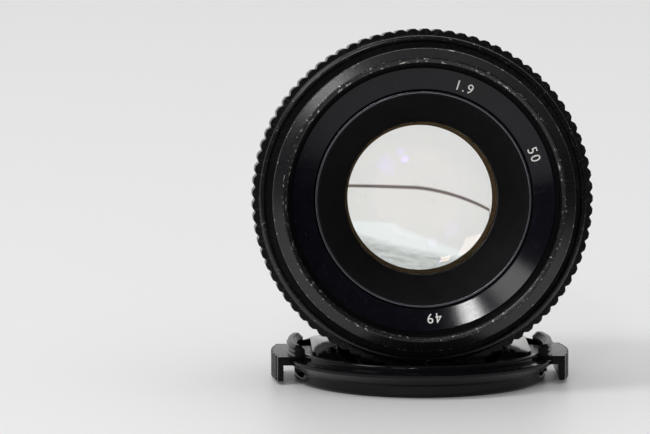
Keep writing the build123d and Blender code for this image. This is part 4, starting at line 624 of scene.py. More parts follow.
def seen_through(tree, side, nearness):
    """Colour behind the lens: table, its edge painted as a dark line of shade where the nearness is
    the edge's, and the wall and the cloth beyond it."""
    off = times(tree, nearness, table_edge(tree, side), "SUBTRACT")
    # painted shade: the table edge's shaded thickness drawn as a dark line
    line = stretched(tree, times(tree, off, 0.0, "ABSOLUTE"), 0.40, 0.14)
    beyond = stretched(tree, off, 0.1, -0.1)
    seen = mixed(tree, beyond, FAR_TABLE, wall_and_cloth(tree, side, nearness))
    return mixed(tree, times(tree, line, 0.93), seen, SHADED_TABLE_EDGE)


print(f"the table's edge is seen {1 / EDGE_NEAR:.3f} m behind the rear focus")

# %% [markdown]
# The lens stands on a plain pale table, one large sheet that fills the view behind it. Its
# paint is slightly uneven, as any real surface is. In shiny surfaces the table's right side is
# shown darker, as if something dark stood there, because a black bevel without anything dark
# to show would look grey.
# %% Table
TABLE_REACH = 9.0                          # from its middle to an edge, in metres
PAINT_DIM, PAINT_BRIGHT = (0.77, 0.77, 0.765, 1), (0.80, 0.80, 0.795, 1)
DARK_SIDE = (0.08, 0.08, 0.085, 1)


def table_paint():
    """Pale satin paint, mixed by noise. Rays that have gone through glass see the colour that
    seen_through gives for side = x / (y - focus) and nearness = 1 / (y - focus)."""
    material, tree, shader = new_material("table_paint")
    place = add(tree, "TexCoord").outputs["Object"]
    parts = add(tree, "SeparateXYZ", {0: place}).outputs
    paths = add(tree, "LightPath").outputs
    cloud = add(tree, "TexNoise", {"Vector": place, "Scale": 3.0, "Detail": 3.0}).outputs["Fac"]
    paint = mixed(tree, cloud, PAINT_DIM, PAINT_BRIGHT)
    dim = times(tree, stretched(tree, parts["X"], 0.06, 0.22), paths["Is Glossy Ray"])
    tree.links.new(mixed(tree, dim, paint, DARK_SIDE), shader.inputs["Base Color"])
    shader.inputs["Roughness"].default_value = 0.42
    shader.inputs["Specular IOR Level"].default_value = 0.35
    nearness = times(tree, 1.0, times(tree, parts["Y"], FOCUS_AWAY, "SUBTRACT"), "DIVIDE")
    side = times(tree, parts["X"], nearness)
    seen = add(tree, "Emission", {"Color": seen_through(tree, side, nearness), "Strength": 1.0})
    both = add(tree, "MixShader", {0: paths["Is Transmission Ray"], 1: shader.outputs[0],
                                   2: seen.outputs[0]})
    tree.links.new(both.outputs[0], tree.nodes["Material Output"].inputs["Surface"])
    return material


mesh = bpy.data.meshes.new("table")
corners = np.array([(-1, -1, 0), (1, -1, 0), (1, 1, 0), (-1, 1, 0)]) * TABLE_REACH
mesh.from_pydata(corners.tolist(), [], [(0, 1, 2, 3)])
mesh.materials.append(table_paint())
table = bpy.data.objects.new("table", mesh)
bpy.context.scene.collection.objects.link(table)
print(f"table of {2 * TABLE_REACH:.0f} m a side")

# %% [markdown]
# The lamps are soft: one at the upper left in front, a larger one above and behind that fills
# the shadow, and two small windows in front that shine in the gloss ring. Area lamps are used,
# because a point of light would draw a hard shadow and a hard spark on every edge.
# %% Lamps
LAMPS = {                                  # place, target, size in metres and power in watts
    "key": ((-0.78, -0.34, 1.0), (0, 0, 0.02), 0.46, 4.8),
    "sky": ((0.1, 0.9, 1.3), (0, 0.5, 0), 1.4, 3.2),
    "window": ((-0.17, -1.0, 0.66), (0, 0, 0.03), 0.09, 1.1),
    "far_window": ((-0.42, -1.0, 0.56), (0, 0, 0.03), 0.22, 0.7),
}


def soft_lamp(name, place, target, size, power):
    """A square area lamp at a place, facing a target."""
    lamp = bpy.data.objects.new(name, bpy.data.lights.new(name, "AREA"))
    lamp.data.size = size
    lamp.data.energy = power
    lamp.location = place
    lamp.rotation_euler = (Vector(target) - Vector(place)).to_track_quat("-Z", "Y").to_euler()
    bpy.context.scene.collection.objects.link(lamp)


for name, values in LAMPS.items():
    soft_lamp(name, *values)
print("lamps:", ", ".join(LAMPS))

# %% [markdown]
# Dark polished metal shows mostly what it reflects, so the room matters more than the lamps.
# It is bright low behind the lens and nearly dark in front of it and on its right. Matt
# surfaces would pick up that pattern as patches, so they get one even light instead.
# %% Room
EVEN_LIGHT = (0.685, 0.685, 0.69, 1)
FRONT_DARK, FRONT_LEFT = (0.010, 0.010, 0.012, 1), (0.075, 0.075, 0.09, 1)
LOW_BEHIND = (0.95, 0.95, 0.94, 1)
CEILING_FRONT, CEILING_BEHIND = (0.05, 0.05, 0.055, 1), (0.70, 0.70, 0.72, 1)
SHY = 0.8                                  # how much the right side takes from the light behind


def shown_in_shine(tree, way):
    """Colour of the room for shiny surfaces, mixed by how far a direction looks behind the
    lens, how far to the left in front of it, and how high it looks."""
    left = stretched(tree, way["X"], 0.2, -0.6)
    shy = times(tree, times(tree, way["X"], 0.0, "MAXIMUM"), SHY)
    behind = stretched(tree, times(tree, way["Y"], shy, "SUBTRACT"), -0.05, 0.5)
    front = mixed(tree, left, FRONT_DARK, FRONT_LEFT)
    low = mixed(tree, behind, front, LOW_BEHIND)
    ceiling = mixed(tree, stretched(tree, way["Y"], -0.3, 0.3), CEILING_FRONT, CEILING_BEHIND)
    return mixed(tree, stretched(tree, way["Z"], 0.15, 0.9), low, ceiling)


world = bpy.data.worlds.new("room")
bpy.context.scene.world = world
world.use_nodes = True
tree = world.node_tree
way = add(tree, "SeparateXYZ", {0: add(tree, "TexCoord").outputs["Generated"]}).outputs
paths = add(tree, "LightPath").outputs
away = times(tree, way["Y"], 0.01, "MAXIMUM")
side = times(tree, way["X"], away, "DIVIDE")
nearness = times(tree, times(tree, way["Z"], away, "DIVIDE"), -1 / FOCUS_HIGH)
light = mixed(tree, paths["Is Glossy Ray"], EVEN_LIGHT, shown_in_shine(tree, way))
light = mixed(tree, paths["Is Transmission Ray"], light, seen_through(tree, side, nearness))
background = tree.nodes["Background"].inputs
tree.links.new(light, background["Color"])
background["Strength"].default_value = 1.0
bpy.context.scene.view_settings.view_transform = "Standard"
print(f"the room has {len(tree.nodes)} nodes")

# %% [markdown]
# Screws, plates, keys and the cap are not turned, so they keep the shape of their nodes. A
# real edge is never a perfect line, and a highlight runs along it, so each copy has its sharp
# edges cut back by a small bevel, which is also where the finish wears. A Bevel modifier would
# do that too, but it wouldn't tell which corners are new.
# %% Softened copies of nodes
FLAT = 0.8                                 # triangles that bend by less, in degrees, are one face
SHARP = 32                                 # edges that bend by more, in degrees, are beveled


def softened(node, coat, width=0.08, change=None):
    """A copy of a node whose triangles are merged into flat faces and whose sharp edges are
    beveled by the width in mm. change, if given, takes the corners' lens places and gives
    their new ones first."""
    shape = merged(node)
    if change:
        places = change(into_the_lens([vert.co for vert in shape.verts]))
        for vert, place in zip(shape.verts, out_of_the_lens(places)):
            vert.co = place
    bmesh.ops.dissolve_limit(shape, angle_limit=radians(FLAT), verts=shape.verts,
                             edges=shape.edges, delimit={"NORMAL"})
    edges = [edge for edge in shape.edges
             if len(edge.link_faces) == 2 and edge.calc_face_angle(0) > radians(SHARP)]
    made = bmesh.ops.bevel(shape, geom=edges, offset=width * MM, segments=2, profile=0.6,
                           affect="EDGES", clamp_overlap=True)
    small = set(made["faces"])
    shape.verts.index_update()
    wear = np.zeros(len(shape.verts))
    wear[[vert.index for vert in made["verts"]
          if vert.is_valid and all(face in small for face in vert.link_faces)]] = 1.0
    bmesh.ops.triangulate(shape, faces=[face for face in shape.faces if len(face.verts) > 4])
    mesh = bpy.data.meshes.new(node + "_piece")
    shape.to_mesh(mesh)
    shape.free()
    return stand_in(smooth_piece(mesh, wear, SHARP), node, coat)


SOFTENED = (                               # node, finish, slot and width of its bevels in mm
    ("cap_body", CAP_BLACK, "cap_plastic", 0.16),
    ("cap_cover", CAP_BLACK, "cap_plastic", 0.14),
    ("cap_tab_left", TAB_BLACK, "tab_plastic", 0.14),
    ("cap_tab_right", TAB_BLACK, "tab_plastic", 0.14),
    ("fixed_barrel", SATIN_BLACK, "black_anodised", 0.1),
    ("mount_screws", STEEL, "steel", 0.05),
    ("switch_lever", SATIN_BLACK, "black_anodised", 0.1),
    ("stop_down_pin", STEEL, "steel", 0.08),
    ("pin_guide", BRASS, "brass", 0.08),
    ("index_ring_screws", BLUED_STEEL, "steel", 0.05),
    ("focus_retainer", BRASS, "brass", 0.06),
    ("distance_ring_screws", BLUED_STEEL, "steel", 0.05),
    ("guide_keys", BRASS, "brass", 0.06),
    ("guide_key_screws", STEEL, "steel", 0.04),
    ("focus_stop_pin", STEEL, "steel", 0.05),
    ("core_screws", STEEL, "steel", 0.04),
    ("aperture_lever", STEEL, "steel", 0.06),
    ("aperture_fork", BRASS, "brass", 0.06),
    ("iris_circlip", STEEL, "steel", 0.04),
    ("iris_housing", MATT_BLACK, "matte_black_metal", 0.05),
    ("iris_cam_plate", MATT_BLACK, "matte_black_metal", 0.04),
    *((f"iris_blade_{number}", BLUED_STEEL, "blade_steel", 0.015) for number in range(1, 7)),
)
for node, coat, slot, width in SOFTENED:
    softened(node, coat, width)
print(f"{len(SOFTENED)} softened copies")

# %% [markdown]
# The front rim carries the filter thread inside its mouth. The thread is a true helix with a
# pitch of 0.75 mm: the wall swings in and out as a cosine of the height less the turn. Its
# front edge is the most handled place of the lens, so its black is worn through there. One
# piece may also have two finishes, here satin outside and, in the thread, a darker and duller
# black that is painted shade for the shadow inside the mouth.
# %% Front rim
FILTER_PITCH = 0.75
FILTER_THREAD = 0.36                       # depth that shows between two crests
MOUTH = 2.0                                # the thread's bore is the smallest within this depth


def thread(pitch, depth, wall, low, high, starts=1, fade=0.35):
    """Change of radius of a threaded wall: depth x (0.5 - 0.5 cos(2 pi h / pitch - starts a)),
    only where the radius is the wall's, and faded out near its two ends."""
    def change(angle, radius, height):
        wave = 0.5 - 0.5 * np.cos(2 * pi * height / pitch - starts * angle)
        ends = np.clip((height - low) / fade, 0, 1) * np.clip((high - height) / fade, 0, 1)
        return depth * wave * ends * (np.abs(radius - wall) < 0.03)
    return change


def part_coated(piece, coat, inner, outer, low, high, slot=1):
    """Gives a further finish to the faces whose middle lies between two radii and two heights.
    slot says whether it is the piece's second finish, 1, or its third, 2."""
    middles = into_the_lens(read_corners(piece.data.polygons, "center"))
    radii, heights = radii_of(middles), middles[:, 2]
    finishes = np.empty(len(piece.data.polygons), "i4")
    piece.data.polygons.foreach_get("material_index", finishes)
    finishes[(radii > inner) & (radii < outer) & (heights > low) & (heights < high)] = slot
    piece.data.materials.append(coat)
    piece.data.polygons.foreach_set("material_index", finishes)


bore = rim[:, 0][rim[:, 1] > rim_front - MOUTH].min()
threaded = rim[np.abs(rim[:, 0] - bore) < 0.02][:, 1]
low, high = threaded.min(), threaded.max()
outline = divided(rounded(rim, 0.14), low, high, bore - 0.05, bore + 0.05, FILTER_PITCH / 12)
piece = turned("front_rim_piece", outline, 288,
               thread(FILTER_PITCH, FILTER_THREAD, bore, low, high))
stand_in(piece, "front_rim", WORN_BLACK)
# the thread gets the darker black as painted shade
part_coated(piece, THREAD_SHADE_BLACK, 0, bore + FILTER_THREAD + 0.1, 0, high + 0.25)
print(f"filter thread: bore {2 * bore:.2f} mm, {high - low:.2f} mm long")

# %% [markdown]
# The name ring, the matt cone and the front cell are plain turned rings, so their own outlines
# are enough. The cell's rounded edges are bare bluish metal all the way round, partly a bare
# edge and partly a painted highlight line. The cone's fine grooves are in its finish, because
# they are too shallow to change its outline.
# %% Rings round the front glass
def plain_ring(node, size, columns, coat, angle=0.6):
    """A turned ring of a node's own outline, cut at the angle in degrees, with corners rounded
    by the size in mm."""
    piece = turned(node + "_piece", rounded(section(node, angle), size), columns)
    stand_in(piece, node, coat)
    print(f"{piece.name}: {len(piece.data.polygons)} faces")


plain_ring("name_ring", 0.07, 288, GLOSS_BLACK)
plain_ring("front_cone", 0.05, 288, MATT_BLACK)
# the cell's edges carry the painted highlight line of bare bluish metal
plain_ring("front_cell", 0.09, 288, CELL_BLACK_PAINTED_EDGE_LIGHT)

# %% [markdown]
# The spacer behind the front glass is the dark wall that frames the view. Its bore is ribbed,
# because a smooth wall would shine at a low angle: the ribs are fine grooves round it.
# %% Front spacer
RIB_PITCH, RIB_DEPTH, RIBBED = 0.4, 0.16, 1.0    # RIBBED: how far from the bore walls change
spacer_in, _, spacer_back, spacer_front = span("front_spacer")


def ribs(angle, radius, height):
    """Change of radius of the spacer's wall: a zigzag of the rib depth, only outwards, where
    the radius is within a millimetre of the bore."""
    zigzag = np.abs((height - spacer_back) / RIB_PITCH % 1 - 0.5) * 2
    return RIB_DEPTH * zigzag * (radius < spacer_in + RIBBED)


outline = divided(rounded(section("front_spacer"), 0.03), spacer_back, spacer_front, 0,
                  spacer_in + RIBBED, RIB_PITCH / 4)
stand_in(turned("front_spacer_piece", outline, 200, ribs), "front_spacer", DEEP_BLACK)
print(f"front spacer: bore {2 * spacer_in:.2f} mm, {spacer_front - spacer_back:.2f} mm long")

# %% [markdown]
# Springs bend in use, so they stay the nodes that they are and only get their finish. So do
# the click ball, the rear spacer and the core, which other pieces hide almost completely.
# %% Finishes of nodes that stay
KEPT = {"rear_spacer": MATT_BLACK, "lens_core": SATIN_BLACK, "cap_spring_left": STEEL,
        "cap_spring_right": STEEL, "pin_spring": STEEL, "detent_spring": STEEL,
        "detent_ball": STEEL}
for node, coat in KEPT.items():
    frame["nodes"][node].data.materials.clear()
    frame["nodes"][node].data.materials.append(coat)
print("nodes that stay:", ", ".join(KEPT))

# %% [markdown]
# The focusing ring's grip is a band of teeth cut by three grooves, which leaves rows of small
# pads. Modelling each pad alone would cost thousands of objects. Instead the ring stays one
# turned grid whose columns fall on the corners of each tooth, and the radius drops between
# the teeth wherever the outline stands proud of the grooves.
# %% Teeth of a grip
def teeth(count, depth, tip_share, floor, tip):
    """Change of radius of a knurled wall: each of count teeth has a flat tip of tip_share of
    its pitch and falls in a straight line to depth at the pitch's ends. Walls below the floor
    radius don't change, and those up to the tip radius change in proportion."""
    def change(angle, radius, height):
        phase = np.abs((angle * count / (2 * pi) + 0.5) % 1 - 0.5)
        notch = np.clip((phase - tip_share / 2) / (0.5 - tip_share / 2), 0, 1)
        return -depth * notch * np.clip((radius - floor) / (tip - floor), 0, 1)
    return change


def tooth_angles(count, phases):
    """The angles at which a toothed ring has columns: the same phases in every tooth."""
    return ((np.arange(count)[:, None] + np.array(phases)[None, :]) * 2 * pi / count).ravel()


def to_the_tips(node):
    """The section of a toothed ring with its outermost rows moved out to the tips, because the
    cut may have passed between two teeth, and the radius of the tips."""
    outline, tip = section(node), span(node)[1]
    outline[outline[:, 0] > outline[:, 0].max() - 0.05, 0] = tip
    return outline, tip


grip, grip_out = to_the_tips("focus_ring")
print(f"grip: {2 * grip_out:.2f} mm over the teeth")

# %% [markdown]
# The ring has three finishes. Its teeth are satin and worn, the shoulder in front of them is
# polished by hands, and the recess round the rim is dull, because dust settles there and
# nobody wipes it. One grid with three finishes keeps their borders on its own edges.
# %% Focusing ring
GRIP_TEETH, GRIP_DEPTH, GRIP_TIP = 85, 0.45, 0.38
GRIP_PHASES = (-0.5, -0.35, -0.225, -0.18, 0, 0.18, 0.225, 0.35)
SHOULDER_IN = rim_out + 1.3                # where the recess ends and the shoulder begins
grip_radii = np.round(grip[:, 0], 2)
grooved = grip_radii[(grip_radii < grip_out - 0.3) & (grip_radii > grip_out - 0.9)].max()
piece = turned("focus_ring_piece", rounded(grip, 0.09, 1), tooth_angles(GRIP_TEETH, GRIP_PHASES),
               teeth(GRIP_TEETH, GRIP_DEPTH, GRIP_TIP, grooved, grip_out))
stand_in(piece, "focus_ring", GRIP_BLACK)
part_coated(piece, SHOULDER_BLACK, SHOULDER_IN, grip_out, rim_back - 1.1, rim_front)
part_coated(piece, RECESS_BLACK, rim_out + 0.1, SHOULDER_IN, rim_back - 3, rim_front, slot=2)
print(f"groove radius {grooved:.2f} mm, {len(piece.data.polygons)} faces")

# %% [markdown]
# The aperture ring is knurled in the same way behind its smooth band of numbers. Its knurls
# are wider and steeper, as they have to be found by touch.
# %% Aperture ring
KNURL_TEETH, KNURL_DEPTH, KNURL_TIP = 60, 0.5, 0.46
KNURL_PHASES = (-0.5, -0.42, -0.34, -0.27, -0.22, 0, 0.22, 0.27, 0.34, 0.42)
knurl, knurl_out = to_the_tips("aperture_ring")
band_out = knurl[:, 0][knurl[:, 1] > knurl[:, 1].max() - 0.6].max()
piece = turned("aperture_ring_piece", rounded(knurl, 0.09, 2),
               tooth_angles(KNURL_TEETH, KNURL_PHASES),
               teeth(KNURL_TEETH, KNURL_DEPTH, KNURL_TIP, band_out, knurl_out))
stand_in(piece, "aperture_ring", GRIP_BLACK)
print(f"aperture ring: {2 * knurl_out:.1f} mm over the knurl")

# %% [markdown]
# The distance ring and the index ring have screw holes, so they are softened copies. The lathe
# marks in their finish still run round the axis. The helicoid is a tube with sixteen thin
# threads side by side, so that a short turn drives the glass far.
# %% Distance ring, index ring and helicoid
softened("distance_ring", SATIN_BLACK)
softened("index_ring", SATIN_BLACK)
HELIX_STARTS, HELIX_PITCH, HELIX_DEPTH = 16, 0.729, 0.24
PLAIN_BACK, PLAIN_FRONT = 9.0, 0.8         # how much of the tube's ends has no thread
_, tube_out, tube_back, tube_front = span("moving_helicoid")
low, high = tube_back + PLAIN_BACK, tube_front - PLAIN_FRONT
helicoid = section("moving_helicoid", angle=7.0)
outline = divided(rounded(helicoid, 0.08), low, high + 0.2, tube_out - 0.06, tube_out + 0.06,
                  HELIX_PITCH / 8)
helix = thread(HELIX_PITCH, -HELIX_DEPTH, helicoid[:, 0].max(), low, high, HELIX_STARTS)
stand_in(turned("moving_helicoid_piece", outline, 256, helix), "moving_helicoid", SATIN_BLACK)
print(f"helicoid: {HELIX_STARTS} threads on {high - low:.1f} mm")

# %% [markdown]
# The mount is a screw of 42 mm with a pitch of 1 mm. The plate has screw holes and the thread
# doesn't suit a softened copy, so the two are made apart: the plate's stub is drawn in to the
# foot of the thread.
# %% Mount plate
MOUNT_PITCH, MOUNT_DEPTH = 1.0, 0.56
BEHIND = -0.5                              # heights below it are the stub, not the plate
plate_places = corners_of("mount_plate")
plate_radii = radii_of(plate_places)
stub = plate_places[:, 2] < BEHIND
crest = plate_radii[stub].max()
thread_back = plate_places[:, 2].min()
thread_front = plate_places[(plate_radii > crest - 0.02) & stub][:, 2].max()


def drawn_in(places):
    """The stub's outer wall behind the seat moves in to the foot of the thread."""
    radii = radii_of(places)
    outer = (places[:, 2] < BEHIND) & (radii > crest - MOUNT_DEPTH)
    share = np.where(outer, (crest - MOUNT_DEPTH - 0.04) / np.maximum(radii, 1), 1)
    return places * np.stack((share, share, np.ones(len(share))), -1)


softened("mount_plate", BARE_METAL, change=drawn_in)
print(f"mount: {2 * crest:.1f} mm over the crests, {thread_front - thread_back:.1f} mm long")

# %% [markdown]
# The mount's thread is a turned sleeve on the stub, a helix like the one in the rim, but cut
# inwards from the crests. The sleeve's back corner is chamfered, so that it finds its hole.
# %% Mount thread
foot = crest - MOUNT_DEPTH - 0.3
sleeve = [(foot, thread_back + 0.02), (crest - 0.6, thread_back + 0.02),
          (crest, thread_back + 0.6), (crest, thread_front), (foot, thread_front)]
outline = divided(rounded(sleeve, 0.05), thread_back + 0.5, thread_front, crest - 0.05,
                  crest + 0.05, MOUNT_PITCH / 14)
piece = turned("mount_thread", outline, 256,
               thread(MOUNT_PITCH, -MOUNT_DEPTH, crest, thread_back + 0.4, thread_front + 0.2))
piece.data.materials.append(BARE_METAL)
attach(piece, frame["nodes"]["mount_plate"]["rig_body"])
print(f"mount thread: {(thread_front - thread_back) / MOUNT_PITCH:.0f} turns")

# %% [markdown]
# The rear glass sits in a cell of its own, held by a ring that a spanner tightens. Both are
# turned rings like those in front. They are cut at another angle, which misses the two notches
# for the spanner, and these are left out of the look.
# %% Rings round the rear glass
plain_ring("rear_cell", 0.08, 240, SATIN_BLACK, 50)
plain_ring("rear_retainer", 0.08, 240, SATIN_BLACK, 50)

# %% [markdown]
# Each glass is a slice between two balls. The curve of a face is the optician's value; the
# place of its middle and its edge are read from the node. The hollow faces end in a flat land,
# by which the glass is held. A hundredth of a millimetre of air is left between two cemented
# faces, because coinciding faces flicker.
# %% Outline of a lens element
CURVES = {"element_1": (30.42, 87.54), "element_2": (19.89, 42.07), "element_3": (42.07, 13.16),
          "element_4": (-14.96, 42.07), "element_5": (42.07, -21.04), "element_6": (451, -41)}
HOLLOWS = {"element_3": 9.6, "element_4": 8.6}   # radius of the hollow face inside its flat land
LAND = 0.7
GLASS_GAP = 0.008


def ball_face(curve, apex, edge, rows=28):
    """Outline of a face from the axis out to an edge radius: height = apex - sign(curve) x
    (|curve| - sqrt(curve^2 - r^2))."""
    radius = np.linspace(0, edge, rows)
    drop = np.sign(curve) * (abs(curve) - np.sqrt(curve ** 2 - radius ** 2))
    return np.stack((radius, apex - drop), -1)


def element_outline(node):
    """Outline of an element, from its front's middle round its edge to its back's middle."""
    places = corners_of(node)
    radii = radii_of(places)
    edge = radii.max() - GLASS_GAP
    middle = places[radii < 0.05][:, 2]
    rim_heights = places[radii > radii.max() - 0.05][:, 2]
    hollow = HOLLOWS.get(node, edge)
    front_curve, back_curve = CURVES[node]
    front = ball_face(front_curve, middle.max() - GLASS_GAP, hollow if front_curve < 0 else edge)
    back = ball_face(back_curve, middle.min() + GLASS_GAP, hollow if front_curve > 0 else edge)
    land = []
    if node in HOLLOWS and front_curve < 0:
        land = [[(hollow + LAND, front[-1, 1]), (edge, rim_heights.max() - GLASS_GAP)]]
    if node in HOLLOWS and front_curve > 0:
        land = [[(edge, rim_heights.min() + GLASS_GAP), (hollow + LAND, back[-1, 1])]]
    return np.vstack((front, *land, back[::-1]))


print("element_1:", len(element_outline("element_1")), "rows")

# %% [markdown]
# Real elements have a ground edge painted black, which stops light from the side. So the edge
# faces get matt paint, and with them the land of a hollow face. The paint is a second finish
# on the same piece, because a black ring beside the glass would leave a gap.
# %% Glass elements
def closed_on_the_axis(name, outline, columns=144):
    """A turned piece whose outline starts and ends on the axis: like turned, but one corner
    stands for each end, with a fan of triangles round it."""
    angles = np.arange(columns) * 2 * pi / columns
    inner = outline[1:-1]
    radius, height = inner[:, 0][:, None], inner[:, 1][:, None]
    rings = np.stack((radius * np.cos(angles), radius * np.sin(angles), height + 0 * angles), -1)
    points = np.vstack((rings.reshape(-1, 3), [[0, 0, outline[0, 1]], [0, 0, outline[-1, 1]]]))
    column = np.arange(columns)
    beside = (column + 1) % columns
    first_end = np.full(columns, len(points) - 2)
    last_row = (len(inner) - 1) * columns
    faces = grid_faces(len(inner), columns, closed=False)
    faces += np.stack((first_end, beside, column), -1).tolist()
    faces += np.stack((last_row + column, last_row + beside, first_end + 1), -1).tolist()
    return piece_from(name, out_of_the_lens(points), faces)


def painted_faces(piece, node, edge):
    """Which faces are painted: those outside the glass face that stand steeply, which is when
    the axis part of their normal is small, and on the hollow side all that aren't quite flat."""
    middles = into_the_lens(read_corners(piece.data.polygons, "center"))
    flatness = np.abs(read_corners(piece.data.polygons, "normal") @ AXES[2])
    if node not in HOLLOWS:
        return (radii_of(middles) > edge - 0.05) & (flatness < 0.2)
    heights = middles[:, 2] * np.sign(CURVES[node][0])
    bevel = (flatness < 0.99999) & (heights < np.median(heights))
    return (radii_of(middles) > HOLLOWS[node]) & ((flatness < 0.2) | bevel)


def element(node, glass):
    """One lens element of a glass with its true faces and its painted edge."""
    outline = element_outline(node)
    piece = closed_on_the_axis(node + "_piece", outline)
    stand_in(piece, node, glass)
    piece.data.materials.append(MATT_BLACK)
    painted = painted_faces(piece, node, outline[:, 0].max())
    piece.data.polygons.foreach_set("material_index", painted.astype("i4"))
    return painted.sum()


for node in CURVES:
    print(node, "painted faces:", element(node, FLINT_GLASS if node in HOLLOWS else CROWN_GLASS))

# %% [markdown]
# The marks on the rings are cut and filled with paint. An image of the marks would blur close
# by and could not be seen from the side, so they are thin solids. Text is made flat first, in
# a plain typeface, and so are the bars.
# %% Flat marks
def paint_of(name, colour):
    """Enamel in a filled mark, slightly uneven and a little worn."""
    return finish(name, colour, 0.42, grain=0.3, uneven=0.06, dust=0.1, specular=0.4)


WHITE_PAINT = paint_of("white_paint", (0.74, 0.73, 0.70))
YELLOW_PAINT = paint_of("yellow_paint", (0.72, 0.50, 0.10))


def flat_text(text, size, spread=1.0):
    """A mesh of a text lying flat round the origin, in mm. spread widens the distances of its
    letters."""
    curve = bpy.data.curves.new("mark", "FONT")
    curve.body, curve.size, curve.resolution_u = text, size, 3
    curve.align_x, curve.align_y = "CENTER", "CENTER"
    curve.space_character = spread
    carrier = bpy.data.objects.new("mark", curve)
    mesh = bpy.data.meshes.new_from_object(carrier)
    bpy.data.objects.remove(carrier)
    return mesh


def flat_bar(width, height):
    """A mesh of a flat bar round the origin, in mm."""
    mesh = bpy.data.meshes.new("bar")
    corners = np.array([(-1, -1, 0), (1, -1, 0), (1, 1, 0), (-1, 1, 0)]) / 2
    mesh.from_pydata((corners * (width, height, 1)).tolist(), [], [(0, 1, 2, 3)])
    return mesh


sample = flat_text("16", 1.5)
print(f"a mark of two figures has {len(sample.vertices)} corners")
bpy.data.meshes.remove(sample)

# %% [markdown]
# A flat mark has to follow its ring, so it is cut into narrow strips, which can bend. Then it
# is made as thick as paint. A Shrinkwrap modifier would lay it on the ring as well, but it
# would squeeze the figures where the ring falls away from them.
# %% Strips of paint
PAINT = 0.022                              # thickness of the paint in mm
STRIP = 0.45                               # widest strip of a mark before it is bent


def thickened_strips(mesh):
    """Corners and faces of a flat mesh that is cut into strips and made as thick as paint."""
    shape = bmesh.new()
    shape.from_mesh(mesh)
    bmesh.ops.remove_doubles(shape, verts=shape.verts, dist=1e-4)
    across = read_corners(mesh.vertices)[:, 0]
    for cut in np.arange(across.min() + STRIP, across.max(), STRIP):
        bmesh.ops.bisect_plane(shape, geom=shape.verts[:] + shape.edges[:] + shape.faces[:],
                               plane_co=(cut, 0, 0), plane_no=(1, 0, 0), dist=1e-5)
    made = bmesh.ops.extrude_face_region(shape, geom=shape.faces[:])["geom"]
    bmesh.ops.translate(shape, vec=(0, 0, PAINT),
                        verts=[part for part in made if isinstance(part, bmesh.types.BMVert)])
    bmesh.ops.recalc_face_normals(shape, faces=shape.faces)
    solid = bpy.data.meshes.new("solid_mark")
    shape.to_mesh(solid)
    shape.free()
    corners = read_corners(solid.vertices) - (0, 0, PAINT / 2)
    faces = [np.array(face.vertices) for face in solid.polygons]
    bpy.data.meshes.remove(mesh)
    bpy.data.meshes.remove(solid)
    return corners, faces


print(f"paint stands {PAINT / 2:.3f} mm proud of its ring, and the other half is sunk in it")

# %% [markdown]
# A strip is wrapped by taking its x for a way round the ring and its y for a way along the
# axis, or outwards on a ring's face. All marks of one ring and one paint are joined, because
# they move together and are filled together.
# %% Marks on a ring
def marks(name, items, wrap, ring, paint):
    """One painted piece: each item is a flat mesh and the x and y of its middle. The meshes are
    thickened and joined, and each corner is taken to its place by wrap."""
    points, faces = np.empty((0, 3)), []
    for mesh, x, y in items:
        corners, flats = thickened_strips(mesh)
        faces += [(face + len(points)).tolist() for face in flats]
        points = np.vstack((points, corners + (x, y, 0)))
    piece = piece_from(name, out_of_the_lens(wrap(points)), faces)
    piece.data.polygons.foreach_set("use_smooth", [False] * len(piece.data.polygons))
    piece.data.materials.append(paint)
    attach(piece, frame["nodes"][ring]["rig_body"])
    print(f"{name}: {len(items)} marks, {len(piece.data.polygons)} faces")


def round_the_side(radius, height):
    """Wrap on a cylinder: x mm along the turn from the top, y mm ahead of the height."""
    def wrap(points):
        angle = pi / 2 + points[:, 0] / radius
        out = radius + points[:, 2]
        return np.stack((out * np.cos(angle), out * np.sin(angle), height + points[:, 1]), -1)
    return wrap


def on_the_face(radius, height, slope=0.0):
    """Wrap on a ring face that looks ahead: x mm clockwise from the top, y mm outwards, and
    slope mm ahead for each mm outwards."""
    def wrap(points):
        angle = pi / 2 - points[:, 0] / radius
        out = radius + points[:, 1]
        ahead = height + points[:, 1] * slope + points[:, 2] * sqrt(1 + slope ** 2)
        return np.stack((out * np.cos(angle), out * np.sin(angle), ahead), -1)
    return wrap


print("wraps:", round_the_side.__name__, on_the_face.__name__)

# %% [markdown]
# The distance numbers follow from optics. A lens of focal length f set for a distance d from
# the film stands forward by x, where x^2 - (d - 2f) x + f^2 = 0, and the ring's travel turns
# that into an angle. Numbers copied from some lens would only fit that lens's own helicoid.
# %% Distance scales
FOCAL = 50.0                               # focal length in mm
FOOT = 0.3048                              # in metres
FOCUS_TURN = radians(joints["focus_turn"]["range_deg"][1])
FOCUS_TRAVEL = joints["focus_slide"]["range_m"][1] / MM
METRES = (10, 5, 3, 2, 1.5, 1.2, 1, 0.8, 0.7, 0.6, 0.5)
FEET = (30, 15, 10, 7, 5, 4, 3, 2.5, 2)


def focus_angle(metres):
    """Turn of the focusing ring from infinity for a distance from the film, in radians."""
    reach = metres / MM - 2 * FOCAL
    return (reach - sqrt(reach ** 2 - 4 * FOCAL ** 2)) / 2 / FOCUS_TRAVEL * FOCUS_TURN


_, ring_out, ring_back, _ = span("distance_ring")
items = [(flat_text(str(number).lstrip("0"), 2.5), -ring_out * focus_angle(number), 0)
         for number in METRES]
items.append((flat_text("∞", 3.4), 0, 0))
marks("distance_numbers", items, round_the_side(ring_out, ring_back + 4.6), "distance_ring",
      WHITE_PAINT)
items = [(flat_text(str(number), 2.0), -ring_out * focus_angle(number * FOOT), 0)
         for number in FEET]
marks("distance_numbers_feet", items, round_the_side(ring_out, ring_back + 1.7),
      "distance_ring", YELLOW_PAINT)

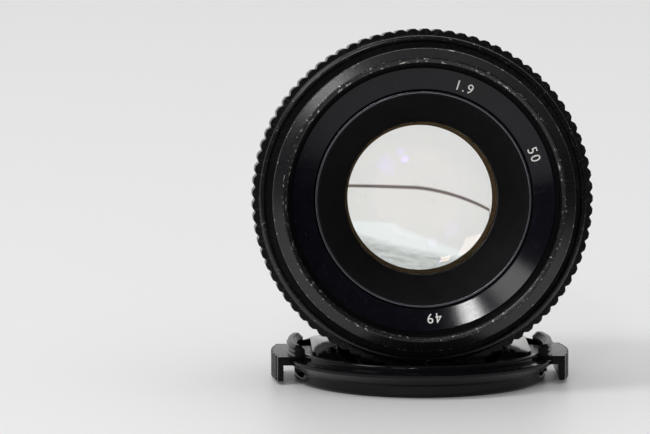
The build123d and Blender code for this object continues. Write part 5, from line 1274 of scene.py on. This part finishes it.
# %% [markdown]
# The aperture numbers stand where the ring clicks, so they are evenly spread over its turn.
# The depth marks beside the index follow from the travel again: an aperture number N allows
# N x 0.033 mm of it each way, before a point grows into a disc that the eye can see.
# %% Aperture numbers and index
BLUR = 0.033                               # circle of confusion in mm
STOPS = ("1.9", "2.8", "4", "5.6", "8", "11", "16")
APERTURE_TURN = radians(joints["aperture_turn"]["range_deg"][1])
steps = np.arange(len(STOPS)) * APERTURE_TURN / (len(STOPS) - 1)
knurl_front = knurl[:, 1][knurl[:, 0] > knurl_out - 0.1].max()
band_middle = (knurl_front + span("aperture_ring")[3]) / 2
items = [(flat_text(stop, 1.55), -band_out * step, 0) for stop, step in zip(STOPS, steps)]
marks("aperture_numbers", items, round_the_side(band_out, band_middle), "aperture_ring",
      WHITE_PAINT)

_, index_out, index_back, index_front = span("index_ring")
items = [(flat_bar(0.45, index_front - index_back - 0.7), 0, 0)]
for number in (4, 8, 16):
    turn = number * BLUR / FOCUS_TRAVEL * FOCUS_TURN * index_out
    for place in (-turn, turn):
        items += [(flat_bar(0.22, 1.0), place, 0.75), (flat_text(str(number), 1.35), place, -0.5)]
marks("index_marks", items, round_the_side(index_out, (index_back + index_front) / 2),
      "index_ring", WHITE_PAINT)

# %% [markdown]
# The ring round the front glass carries only plain numbers: the widest stop, the focal length
# and the filter size, cut into the slope and filled with white. The slope is read from the
# ring's section, so that the numbers lie in it and not above it.
# %% Numbers on the name ring
CLOCKWISE = {"1.9": 20, "50": 68, "49": 175}      # degrees from the top
ring_line = section("name_ring")
ring_in, _, _, ring_front = span("name_ring")
face_low = ring_line[ring_line[:, 0] < ring_in + 0.05][:, 1].max()
face_out = ring_line[ring_line[:, 1] > ring_front - 0.05][:, 0].min()
slope = (ring_front - face_low) / (face_out - ring_in)
middle = (ring_in + face_out) / 2
items = [(flat_text(text, 2.5, 1.2), radians(turn) * middle, -0.35)
         for text, turn in CLOCKWISE.items()]
marks("ring_numbers", items, on_the_face(middle, (face_low + ring_front) / 2, slope),
      "name_ring", WHITE_PAINT)
